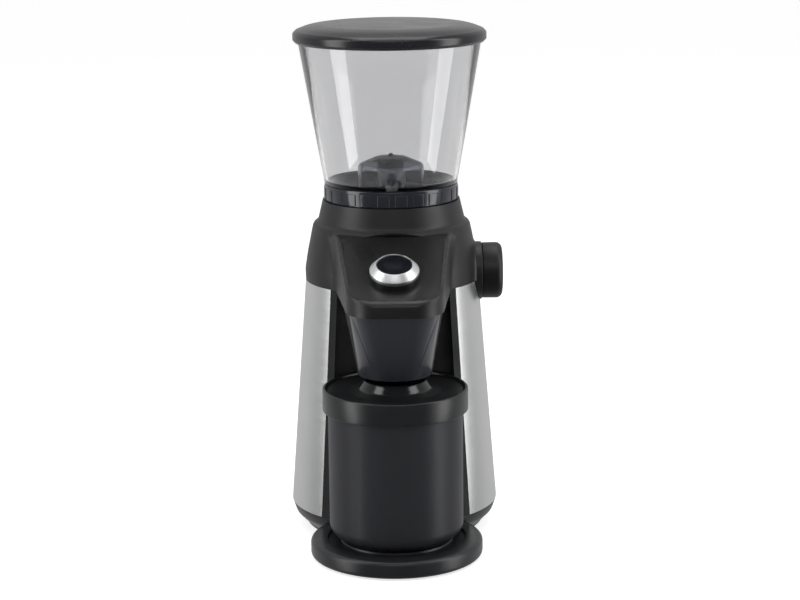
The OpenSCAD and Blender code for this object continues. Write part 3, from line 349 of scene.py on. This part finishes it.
gland_z = 32
gland = turned([(3.4, -8.6, 0.4), (5.9, -8.6, 0.4), (6.5, -6.6), (6.5, 0.9), (9.5, 0.9, 0.4), (9, 2.8, 1.1),
                (5.6, 3.85, 1.0), (3.4, 3.85, 0.8)], closed=True, steps=64)
turn_back = Matrix.Translation((0, body_r(gland_z) * mm, gland_z * mm)) @ Matrix.Rotation(-pi / 2, 4, "X")
piece("inlet_gland", moved(gland, turn_back), rubber, "rubber", "housing", "cord_gland")

# ---- Steel wrap ----
# One sheet of 0.8 mm stainless steel rolled to the body's cone and open at the front. It is
# brushed along its length round the body, so fine lines run level and blur what it reflects.

gap_angle = radians(45)
sheet_t = 0.8
top_edge = 195.9
knob_z = 200
sheet = outline([(body_r_bottom, steel_z0, 0.3), (body_r_top, top_edge, 0.3),
                 (body_r_top - sheet_t, top_edge), (body_r_bottom - sheet_t, steel_z0)], closed=True)
bmesh.ops.rotate(sheet, verts=sheet.verts, cent=(0, 0, 0), matrix=Matrix.Rotation(gap_angle - pi / 2, 3, "Z"))
bmesh.ops.spin(sheet, geom=sheet.verts[:] + sheet.edges[:], cent=(0, 0, 0), axis=(0, 0, 1),
               angle=2 * pi - 2 * gap_angle, steps=216)
bmesh.ops.holes_fill(sheet, edges=sheet.edges, sides=0)
bmesh.ops.recalc_face_normals(sheet, faces=sheet.faces)
along_x = Matrix.Translation((0, 0, knob_z * mm)) @ Matrix.Rotation(pi / 2, 4, "Y")
knob_relief = moved(turned([(0, 40), (23.1, 40), (23.1, 100), (0, 100)]), along_x)
gland_relief = moved(turned([(0, -12), (6.6, -12), (6.6, 8), (0, 8)], steps=64), turn_back)
sheet = cut(sheet, knob_relief, gland_relief)

steel = finish("brushed_stainless_steel", "dcdedd", 0.32, "e4e5e4", grain=0.5, depth=0.004, Metallic=1.0)
# The brush lines are drawn 0.9 mm apart, coarser than the real ones, so that they show
brush_tree = steel.node_tree
brush_place = add(brush_tree, "Mapping", {
    "Vector": brush_tree.nodes["Texture Coordinate"].outputs["Object"], "Scale": (14, 14, 1 / (0.9 * mm))})
brush = add(brush_tree, "TexNoise", {
    "Vector": brush_place.outputs[0], "Scale": 1, "Detail": 4, "Roughness": 0.7})
brush_tree.links.new(brush.outputs[0], brush_tree.nodes["Bump"].inputs["Height"])
brush_tree.links.new(
    add(brush_tree, "MapRange", {"Value": brush.outputs[0], "From Min": 0.3, "From Max": 0.7,
                                 "To Min": 0.29, "To Max": 0.42}).outputs[0],
    brush_tree.nodes["Principled BSDF"].inputs["Roughness"])
piece("steel_wrap", sheet, steel, "brushed_stainless", "housing", "steel_shell")

# ---- Upper housing ----
# The head of the grinder, moulded in satin black ABS: a round body with a soft shoulder that
# flows into a long nose over the bin. Its edges are generously rounded; the joints are crisp.

wall = 2.5
housing_z0 = 196
housing_z1 = 258
housing_r1 = 53
shoulder_z = 240.8
shoulder_r0 = 57.1
shoulder_r1 = 60.4
panel_slope = radians(22.3)
panel_top = (0, -58, 238)
nose_reach = 141
nose_corner_r = 24
nose_flat = 12
nose_taper = radians(6.4)
nose_drop = 2.6
nose_front_half = (nose_flat + nose_corner_r * cos(nose_taper)
                   - nose_corner_r * (1 - sin(nose_taper)) * tan(nose_taper))


def nose_plan(inset, back=-20):
    """Outline of the nose seen from above: two sides that close in, and round front corners."""
    front = nose_front_half - inset / cos(nose_taper) + inset * tan(nose_taper)
    rear = front + (nose_reach - inset + back) * tan(nose_taper)
    return [(-rear, back), (-front, inset - nose_reach, nose_corner_r - inset),
            (front, inset - nose_reach, nose_corner_r - inset), (rear, back)]


def side_block(corners, x_half):
    """A block with that outline seen from the side. A corner is how far in front of the
    body's axis it lies, its height and its radius; the block reaches x_half to each side."""
    bm = outline(corners, closed=True)
    face = bmesh.ops.contextual_create(bm, geom=bm.edges[:])["faces"]
    far = bmesh.ops.extrude_face_region(bm, geom=face, use_keep_orig=True)["geom"]
    bmesh.ops.translate(bm, verts=[v for v in far if isinstance(v, bmesh.types.BMVert)],
                        vec=(0, 2 * x_half * mm, 0))
    bmesh.ops.recalc_face_normals(bm, faces=bm.faces)
    return moved(bm, Matrix.Rotation(-pi / 2, 4, "Z") @ shift(y=-x_half))


def nose_block(inset, z0):
    """The nose as a solid: its plan, cut by its side view with a sloped top and a round front
    edge."""
    slope = tan(panel_slope)
    front_z = panel_top[2] - (nose_reach - inset + panel_top[1]) * slope - inset / cos(panel_slope)
    crest_z = panel_top[2] - inset
    crest_y = panel_top[1] - inset * tan(panel_slope / 2)
    side = side_block([
        (nose_reach - inset, z0 - 1), (nose_reach - inset, front_z, 6), (-crest_y, crest_z, 3),
        (-20, crest_z), (-20, z0 - 1)], 90)
    return worked(prism(nose_plan(inset), z0, 262), "BOOLEAN", side, operation="INTERSECT", solver="EXACT")


def body_line(inset, z0, z1):
    """Side of the round body from z0 up to z1, with the shoulder between."""
    lean = (shoulder_r0 - housing_r1) / (housing_z1 - shoulder_z)
    return [(0, z0), (body_r_top - inset, z0), (body_r_top - inset, housing_z0),
            (body_r_top + 0.3 - inset, 204), (65.1 - inset, 218),
            (shoulder_r1 - inset, shoulder_z - 0.1, 2.6), (shoulder_r0 - inset, shoulder_z),
            (housing_r1 - lean * (z1 - housing_z1) - inset, z1), (0, z1)]


# The soft form: body, nose, the webs between them and the root of the knob's boss, melted
# into one skin and then smoothed
overlap = 12
soft_body = turned(body_line(0, housing_z0 - overlap, housing_z1 + overlap))
soft_nose = nose_block(0, housing_z0 - overlap)
neck = joined(*[
    prism([(side * x, y) for x, y in ((43.4, -52), (49.6, -36), (30, -30), (30, -52))],
          housing_z0 - overlap, panel_top[2] - 2) for side in (-1, 1)])
knob_boss_r = 22.5
boss_root = turned([(0, 40), (knob_boss_r + 0.6, 40), (knob_boss_r + 0.2, 66, 1), (0, 66)], steps=96)
voxel = 1.05
smoothing_passes = 8
soft = worked(joined(soft_body, soft_nose, neck, moved(boss_root, along_x)), "REMESH",
              mode="VOXEL", voxel_size=voxel * mm)
for _ in range(smoothing_passes):
    bmesh.ops.smooth_vert(soft, verts=soft.verts, factor=0.5,
                          use_axis_x=True, use_axis_y=True, use_axis_z=True)

# What is cut away: below the joint with the steel, above the adjusting ring, and the inside
below = side_block([
    (-90, 150), (-90, housing_z0), (48, housing_z0), (160, housing_z0 - nose_drop * 112 / 93),
    (160, 150)], 100)
above = turned([(0, housing_z1), (90, housing_z1), (90, 300), (0, 300)])
skirt_hole_r = 47.2
hole = turned([(0, 240), (skirt_hole_r, 240), (skirt_hole_r, housing_z1 + 1), (0, housing_z1 + 1)])
round_room = turned(body_line(wall, housing_z0 - 20, housing_z1 - 8))
nose_room = nose_block(wall, housing_z0 + wall)
inside = fused(round_room, nose_room, hole)

panel_place = Matrix.Translation([c * mm for c in panel_top]) @ Matrix.Rotation(panel_slope, 4, "X")
panel_half_top = 38.2
panel_half_bottom = 32.4
panel_len = 84.4
panel_corner_r = 14
panel_t = 1.2
button_s = 54.4


def panel_plan(grow):
    """Outline of the panel from its straight top edge down to its two round corners."""
    top, bottom = panel_half_top + grow, panel_half_bottom + grow
    return [(-top, 0), (-bottom, -panel_len - grow, panel_corner_r + grow),
            (bottom, -panel_len - grow, panel_corner_r + grow), (top, 0)]


button_place = panel_place @ shift(y=-button_s)
panel_recess = moved(prism(panel_plan(0.15), -panel_t, 9), panel_place)
button_hole = moved(turned([(0, -12), (12, -12), (12, 3), (0, 3)], steps=64), button_place)
latch = block((-18.8, -nose_reach - 5, 190), (18.8, 0.5 - nose_reach, 203.4))
boss = moved(turned([(19.8, 56), (knob_boss_r, 56), (knob_boss_r, 69.6, 0.5), (5, 69.6), (5, 67), (20, 67)],
                    closed=True, steps=128), along_x)
housing = cut(soft, fused(below, latch), above, fused(inside, panel_recess, button_hole))
floor_plate = prism([(-45, -37)] + nose_plan(0.6, back=-60) + [(45, -37)], housing_z0, housing_z0 + wall)
drop_hole = block((-13.6, -82.1, 190), (13.6, -63.9, 202))
housing = joined(housing, boss, cut(floor_plate, drop_hole))
housing_abs = finish("satin_black_abs", "161618", 0.44, "19191b", grain=1.2, depth=0.02)
piece("nose_housing", housing, housing_abs, "black_satin_plastic", "housing", "upper_housing")

# ---- Control panel ----
# A 1.2 mm sheet of black acrylic let in flush with the slope of the nose and glued down.
# Its face is fine-ground, so it glows a little more evenly than the housing round it.

acrylic = finish("fine_ground_black_acrylic", "1c1d1c", 0.3, drift=0.03, depth=0.002)
panel = moved(prism(panel_plan(0), 0.05 - panel_t, 0), panel_place)
panel = cut(panel, moved(turned([(0, -3), (12, -3), (12, 3), (0, 3)], steps=96), button_place))
piece("nose_panel", panel, acrylic, "black_gloss_plastic", "housing", "control_panel")

# ---- Start button ----
# A chromed ring with a bevelled edge round a dark domed lens. The two press together into a
# black collar that stands on the panel, against a coil spring on the stem.

collar_abs = finish("satin_black_abs_collar", "18191b", 0.3, depth=0.01)
chrome = finish("satin_chrome", "ececec", 0.42, "e2e3e4", drift=0.04, depth=0.002, Metallic=1.0)
lens_acrylic = finish("dark_lens_acrylic", "14151d", 0.16, drift=0.02, depth=0.001)
bezel = turned([(9.5, -5), (11.9, -5), (11.9, 0.02), (17.1, 0.02), (17.1, 4.4, 0.4), (9.5, 4.4, 0.4)],
               closed=True)
piece("button_collar", moved(bezel, button_place), collar_abs, "black_satin_plastic",
      "housing", "button_bezel")
ring = turned([(17.4, 4.3, 0.1), (18.2, 4.3, 0.2), (18.2, 6.7, 0.35), (13.7, 11.3, 0.35), (13.2, 11.3, 0.1),
               (13.2, 7.2), (17.4, 6.7)], closed=True, steps=192)
piece("button_trim_ring", moved(ring, button_place), chrome, "satin_chrome", "start_button", "button_ring")
lens = turned([(0, 7.2), (13.15, 7.2), (13.15, 10.9, 0.7), (0, 10.3)], steps=128)
piece("button_lens_cap", moved(lens, button_place), lens_acrylic, "button_lens", "start_button", "button_cap")

wire_r = 0.4
coil_r = 6.4
coil_turns = 5
spring_steel = finish("drawn_spring_steel", "9c9ea1", 0.3, depth=0.003, Metallic=1.0)
coil = bmesh.new()
bmesh.ops.create_circle(coil, cap_ends=False, segments=10, radius=wire_r * mm)
moved(coil, Matrix.Translation((coil_r * mm, 0, -4.2 * mm)) @ Matrix.Rotation(pi / 2, 4, "X"))
coil_rise = 10.7
coil_steps = coil_turns * 28
bmesh.ops.spin(coil, geom=coil.verts[:] + coil.edges[:], cent=(0, 0, 0), axis=(0, 0, 1),
               dvec=(0, 0, coil_rise * mm / coil_steps), angle=2 * pi * coil_turns, steps=coil_steps)
bmesh.ops.holes_fill(coil, edges=coil.edges, sides=0)
bmesh.ops.recalc_face_normals(coil, faces=coil.faces)
piece("button_coil_spring", moved(coil, button_place), spring_steel, "spring_steel",
      "start_button", "button_spring")

# ---- Timer knob ----
# A round knob in satin black ABS on the right side, with a domed edge, an inset end disc
# and one moulded groove that points at the setting.

knob_x0 = 70
knob_r = 21.8
knob_len = 15.6
knob_abs = finish("satin_black_abs_knob", "0f0f11", 0.48, "121214", grain=1.0, depth=0.02)
knob = turned([(7, 0.2, 0.3), (10, 0.2), (10, 10), (19.3, 10), (19.3, 0.1, 0.3), (knob_r - 0.2, 0.1, 0.3),
               (knob_r, knob_len, 5), (12.3, knob_len, 0.3), (12.1, knob_len - 0.8), (7, knob_len - 0.8)],
              closed=True, steps=160)
pointer = block((-knob_r - 1, -0.6, knob_len - 0.7), (-12.6, 0.6, knob_len + 2), 0.2)
side_place = along_x @ shift(z=knob_x0)
piece("timer_knob_shell", moved(cut(knob, pointer), side_place), knob_abs, "black_satin_plastic",
      "timer_dial", "timer_knob")
cap = turned([(0, knob_len - 0.75), (12, knob_len - 0.75), (12, knob_len + 0.1, 0.35),
              (0, knob_len + 0.1)], steps=128)
cap_abs = finish("matt_black_abs_disc", "232426", 0.45, depth=0.02)
piece("knob_end_disc", moved(cap, side_place), cap_abs, "black_matt_plastic", "timer_dial", "knob_cap")

# ---- Adjusting ring ----
# A dark smoked ring that turns under the hopper to set the burrs, with 24 shallow pads
# moulded round it for the fingers.

smoke = finish("smoked_black_polycarbonate", "24262c", 0.19, "2a2c33", drift=0.03, depth=0.004,
               Coat_Weight=0.2)
grip_count = 24
ring_z0 = 258.3
ring_h = 12.7
hopper_r0 = 51.4
seat_r = hopper_r0 - 4.4
skirt_r = 46.8
grind_ring = turned([
    (27, ring_z0 + 2.5, 0.3), (27, ring_z0, 0.3), (40.8, ring_z0), (40.8, 237.4), (skirt_r, 237.4, 0.3),
    (skirt_r, ring_z0), (hopper_r0 + 0.1, ring_z0, 0.5), (hopper_r0 + 0.1, ring_z0 + ring_h - 0.2, 1.0),
    (seat_r, ring_z0 + ring_h - 0.2, 0.3), (seat_r, ring_z0 + 2.5)], closed=True, steps=192)
pads = [moved(block((hopper_r0 - 1, -4.6, ring_z0 + 0.7), (hopper_r0 + 0.45, 4.6, ring_z0 + 9.7), 0.4),
              Matrix.Rotation((i + 0.5) * 2 * pi / grip_count, 4, "Z")) for i in range(grip_count)]
piece("grind_setting_ring", joined(grind_ring, *pads), smoke, "smoked_ring_plastic",
      "grind_ring", "adjust_ring")

# ---- Hopper ----
# A clear polycarbonate funnel with a faint smoky tint. Its foot drops into the adjusting
# ring, and beans fall through the round throat in its floor, under a smoked guard.

hopper_z0 = ring_z0 + ring_h
hopper_h = 114
hopper_z1 = hopper_z0 + hopper_h
hopper_r1 = 71.0
hopper_t = 2.4
throat_r = 26
floor_z = ring_z0 + 2.9
spigot_r = seat_r - 0.4
clear = finish("clear_polycarbonate", "dbdbdc", 0.03, drift=0.01, depth=0.001,
               Transmission_Weight=1.0, IOR=1.18, Coat_Weight=1.0)
hopper = turned([
    (throat_r, floor_z, 0.4), (spigot_r, floor_z, 0.6), (spigot_r, hopper_z0 + 0.1),
    (hopper_r0, hopper_z0 + 0.1, 0.3), (hopper_r1, hopper_z1, 0.4), (hopper_r1 - hopper_t, hopper_z1, 0.4),
    (hopper_r0 - hopper_t, hopper_z0 + 2.6, 2), (spigot_r - hopper_t, hopper_z0 + 0.6),
    (throat_r + 4, floor_z + 2.4, 2), (throat_r, floor_z + 2.4, 0.4)], closed=True, steps=192)
hopper_shell = piece("bean_hopper_shell", hopper, clear, "clear_hopper_plastic", "bean_hopper", "hopper")
painted(hopper_shell, smoke, floor_z - 1, hopper_z0 + 0.5)

guard_r = 25.5
guard_h = 20
guard_side_h = 13
guard_foot = floor_z + 2.5
guard_top = hopper_z0 + guard_h
shell = turned([
    (guard_r - 2, guard_foot), (throat_r + 3.4, guard_foot, 0.3), (throat_r + 3.4, guard_foot + 1.2, 0.4),
    (guard_r, guard_foot + 1.2, 0.6), (guard_r, hopper_z0 + guard_side_h, 3), (12, guard_top - 1.2, 12),
    (0.01, guard_top), (0.01, guard_top - 2), (12, guard_top - 3.2, 10),
    (guard_r - 2, hopper_z0 + guard_side_h - 1.2, 2)], closed=True)
windows = [moved(block((10, -9, guard_foot + 3), (40, 9, guard_top - 8.5), 2),
                 Matrix.Rotation(radians(a), 4, "Z")) for a in (45, 135, 225, 315)]
hub = turned([(0, hopper_z0 - 3), (2, hopper_z0 - 3, 0.5), (12.6, guard_top - 2.6), (0, guard_top - 2.2)])
pip = turned([(0, guard_top - 1), (1.6, guard_top - 1), (1.6, guard_top + 1.4, 0.8),
              (0, guard_top + 1.4)], steps=48)
guard_clear = finish("clear_grey_polycarbonate", "c6c8d2", 0.12, drift=0.02, depth=0.001,
                     Transmission_Weight=0.72, IOR=1.3)
guard_smoke = finish("smoked_grey_polycarbonate", "80828e", 0.1, drift=0.02, depth=0.001,
                     Transmission_Weight=0.85, IOR=1.3)
guard = piece("throat_guard", cut(shell, *windows), guard_clear, "guard_plastic",
              "bean_hopper", "hopper_guard")
painted(guard, guard_smoke, guard_top - 6, guard_top + 1)
hub_abs = finish("satin_black_abs_hub", "15151b", 0.3, depth=0.01)
piece("guard_hub", joined(hub, pip), hub_abs, "guard_plastic", "bean_hopper")

# ---- Lid ----
# A black ABS lid with a polished side and a satin, crowned top that lifts straight off; here
# one polished finish covers both. A plug below it drops into the hopper and carries a rubber seal.

lid_r = 74
lid_z0 = hopper_z1 - 6
lid_rim_z = lid_z0 + 9.2
lid_crown = 4.5
plug_z0 = lid_z0 + 0.5
plug_r = hopper_r0 + (hopper_r1 - hopper_r0) * (plug_z0 - hopper_z0) / hopper_h - hopper_t - 1
lid = turned([
    (0, lid_rim_z - 2), (plug_r - 2.2, lid_rim_z - 2, 1), (plug_r - 2.2, plug_z0, 0.3),
    (plug_r, plug_z0, 0.5), (plug_r, hopper_z1 + 0.2), (hopper_r1 + 0.4, hopper_z1 + 0.2),
    (hopper_r1 + 0.4, lid_z0), (lid_r - 2, lid_z0),
    (lid_r, lid_z0 + 2, 0.8), (lid_r, lid_rim_z - 2.2, 1.6), (lid_r - 2.3, lid_rim_z + 0.1, 1.5),
    (lid_r - 10, lid_rim_z + 3.1, 30), (lid_r - 20, lid_rim_z + lid_crown, 40),
    (0, lid_rim_z + lid_crown + 0.2)], steps=192)
lid_abs = finish("polished_black_abs_lid", "1c1c1f", 0.25, "212124", drift=0.03, grain=1.1, depth=0.005)
piece("lid_moulding", lid, lid_abs, "lid_plastic", "lid", "hopper_lid")

# ---- Outlet chute ----
# A smoked duct that carries the grounds from the nose down to the bin's collar. Its top
# follows the nose and slips over a lip inside it; its bottom is round.

chute_z0 = 141.1
chute_r = 27.6
chute_t = 2
chute_seat = wall + 0.1
top = outline(nose_plan(chute_seat, back=-61), closed=True)
moved(top, shift(z=195.9) @ Matrix.Rotation(-pi / 2, 4, "X"))
low = bmesh.new()
bmesh.ops.create_circle(low, cap_ends=False, segments=96, radius=chute_r * mm)
chute = joined(top, moved(low, shift(y=bin_y, z=chute_z0)))
bmesh.ops.bridge_loops(chute, edges=chute.edges[:])
bmesh.ops.recalc_face_normals(chute, faces=chute.faces)
chute = worked(chute, "SOLIDIFY", thickness=chute_t * mm, offset=-1, use_even_offset=True)
duct_smoke = finish("smoked_satin_polycarbonate", "292a31", 0.34, drift=0.02, depth=0.002,
                    Transmission_Weight=0.06, IOR=1.5, Coat_Weight=0.4)
piece("outlet_duct", chute, duct_smoke, "smoked_plastic", "housing", "outlet_chute")

# ---- Grounds bin and its lid ----
# The bin is a round jar of the same smoked plastic, with a thick rounded bottom and a ring
# foot. Its black lid is dished, with a conical collar round the hole below the chute.

bin_r = 50.5
bin_t = 2.2
bin_z0 = 16.6
bin_z1 = 126
bin_round = 14
bin_foot_r = bin_r - bin_round + 4
jar = turned([
    (0, bin_z0), (bin_foot_r - 3, bin_z0), (bin_foot_r - 3, 14.1, 0.6), (bin_foot_r, 14.1, 0.6),
    (bin_foot_r + 0.6, bin_z0, 0.5), (bin_r, bin_z0, bin_round - 4), (bin_r, bin_z1 - 8),
    (bin_r + 0.8, bin_z1 - 7.6, 0.3),
    (bin_r + 0.8, bin_z1 - 6.4, 0.3), (bin_r, bin_z1 - 6), (bin_r, bin_z1, 0.5), (bin_r - bin_t, bin_z1, 0.5),
    (bin_r - bin_t, bin_z0 + bin_t + 0.6, bin_round - 4), (0, bin_z0 + bin_t + 0.6)], steps=192)
jar_smoke = finish("smoked_clear_polycarbonate", "2f3035", 0.42, drift=0.01, depth=0.001,
                   Transmission_Weight=0.3, IOR=1.4, Specular_IOR_Level=0.4)
piece("grounds_jar", moved(jar, shift(y=bin_y)), jar_smoke, "smoked_plastic", "bin", "grounds_bin")

bin_lid_r = 54.5
bin_lid_t = 2.2
hole_r = 21.5
collar_r = 23.5
floor_of_lid = bin_z1 + 0.2
bin_top = turned([
    (hole_r, floor_of_lid, 0.4), (bin_lid_r - bin_lid_t, floor_of_lid), (bin_lid_r - bin_lid_t, 113.5, 0.3),
    (bin_lid_r, 113.5, 0.8), (bin_lid_r, 130.5, 1.1), (bin_lid_r - bin_lid_t, 130.5, 0.8),
    (bin_lid_r - bin_lid_t - 1, floor_of_lid + 2, 1.5), (collar_r + 11, floor_of_lid + 2, 4),
    (collar_r + 4, floor_of_lid + 4, 3), (collar_r, 136.5, 0.6), (hole_r, 136.5, 0.6)],
    closed=True, steps=192)
bin_lid_abs = finish("semi_gloss_black_abs", "1a1b1d", 0.34, "1e1f21", grain=1.2, depth=0.008)
jar_lid = piece("jar_lid", moved(bin_top, shift(y=bin_y)), bin_lid_abs, "bin_lid_plastic",
                "bin_cover", "bin_lid")
painted(jar_lid, finish("polished_black_abs_collar", "1c1d1f", 0.16, drift=0.02, depth=0.003), 130.7, 137)

# ---- Parts kept from the frame ----
# The tower, the bottom cover, the screws, the motor, the gears, the burrs and the switches
# keep their own shapes. Each gets the finish of the plastic or metal that it is made of; the
# tower's black is also painted darker than the housing's, as painted shade for its deep niche.

inside_finishes = {
    # Black ABS, its colour painted darker than the housing's as painted shade for the deep niche round the
    # outlet.
    finish("black_abs_tower_darkened_as_niche_shade", "07070a", 0.55, "09090c", grain=1.1, depth=0.02,
           Specular_IOR_Level=0.3): ["inner_tower"],
    finish("matt_black_polypropylene", "1a1b1c", 0.55, "1f2021", depth=0.03): ["bottom_cover", "exit_duct"],
    finish("zinc_plated_steel_screw", "b9bbbd", 0.3, "abadaf", depth=0.003, Metallic=1.0): [
        "cover_screws", "housing_screws", "motor_screws", "case_screws", "chamber_screws",
        "burr_screws", "burr_nut"],
    finish("deep_drawn_galvanised_can", "a7aaac", 0.36, "9a9d9f", depth=0.004, Metallic=1.0): ["motor_can"],
    finish("ground_hardened_steel", "c4c6c8", 0.2, "b8babd", depth=0.002, Metallic=1.0): [
        "motor_shaft", "burr_shaft", "idler_pin", "knob_spindle", "shaft_bearing"],
    finish("milled_carbon_steel_burr", "97999b", 0.3, "8b8d8f", depth=0.006, Metallic=1.0): [
        "cone_burr", "ring_burr"],
    finish("sintered_bronze", "a9783f", 0.45, "966a38", grain=0.4, depth=0.01, Metallic=1.0): ["shaft_bush"],
    finish("machined_brass", "c8a24a", 0.28, "bb9542", depth=0.004, Metallic=1.0): ["motor_pinion"],
    finish("lacquered_copper_winding", "a8552b", 0.33, "8e4522", grain=0.5, depth=0.05, Metallic=1.0): [
        "armature"],
    finish("barium_ferrite", "2c2c2f", 0.6, "343437", grain=0.4, depth=0.02): ["motor_magnets"],
    finish("white_acetal", "e6e4dc", 0.38, "dddad0", depth=0.006): ["idler_gear", "button_stem"],
    finish("natural_nylon", "d8d2bd", 0.42, "cfc8b2", depth=0.008): ["output_gear", "impeller"],
    finish("glass_filled_nylon_case", "3a3b3e", 0.5, "414245", grain=0.5, depth=0.04): [
        "gear_case", "gear_case_cover", "motor_end_cap"],
    finish("die_cast_aluminium", "9fa1a3", 0.42, "94969a", grain=0.7, depth=0.03, Metallic=1.0): [
        "grinding_chamber"],
    finish("black_glass_filled_nylon", "1f2023", 0.45, "242528", grain=0.5, depth=0.03): ["burr_carrier"],
    finish("green_solder_resist", "1f5a34", 0.3, "1b512e", depth=0.002): ["control_board"],
    finish("black_epoxy_components", "1c1c1e", 0.4, "222224", depth=0.01): ["board_parts"],
    finish("black_switch_thermoplastic", "222326", 0.38, "27282b", depth=0.01): [
        "micro_switch", "rotary_switch", "hopper_switch"],
    finish("black_nitrile_rubber", "18181a", 0.7, "1e1e20", grain=0.7, depth=0.04): [
        "motor_damper", "lid_seal"],
}
for material, names in inside_finishes.items():
    for name in names:
        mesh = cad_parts[name].data
        mesh.materials.clear()
        mesh.materials.append(material)
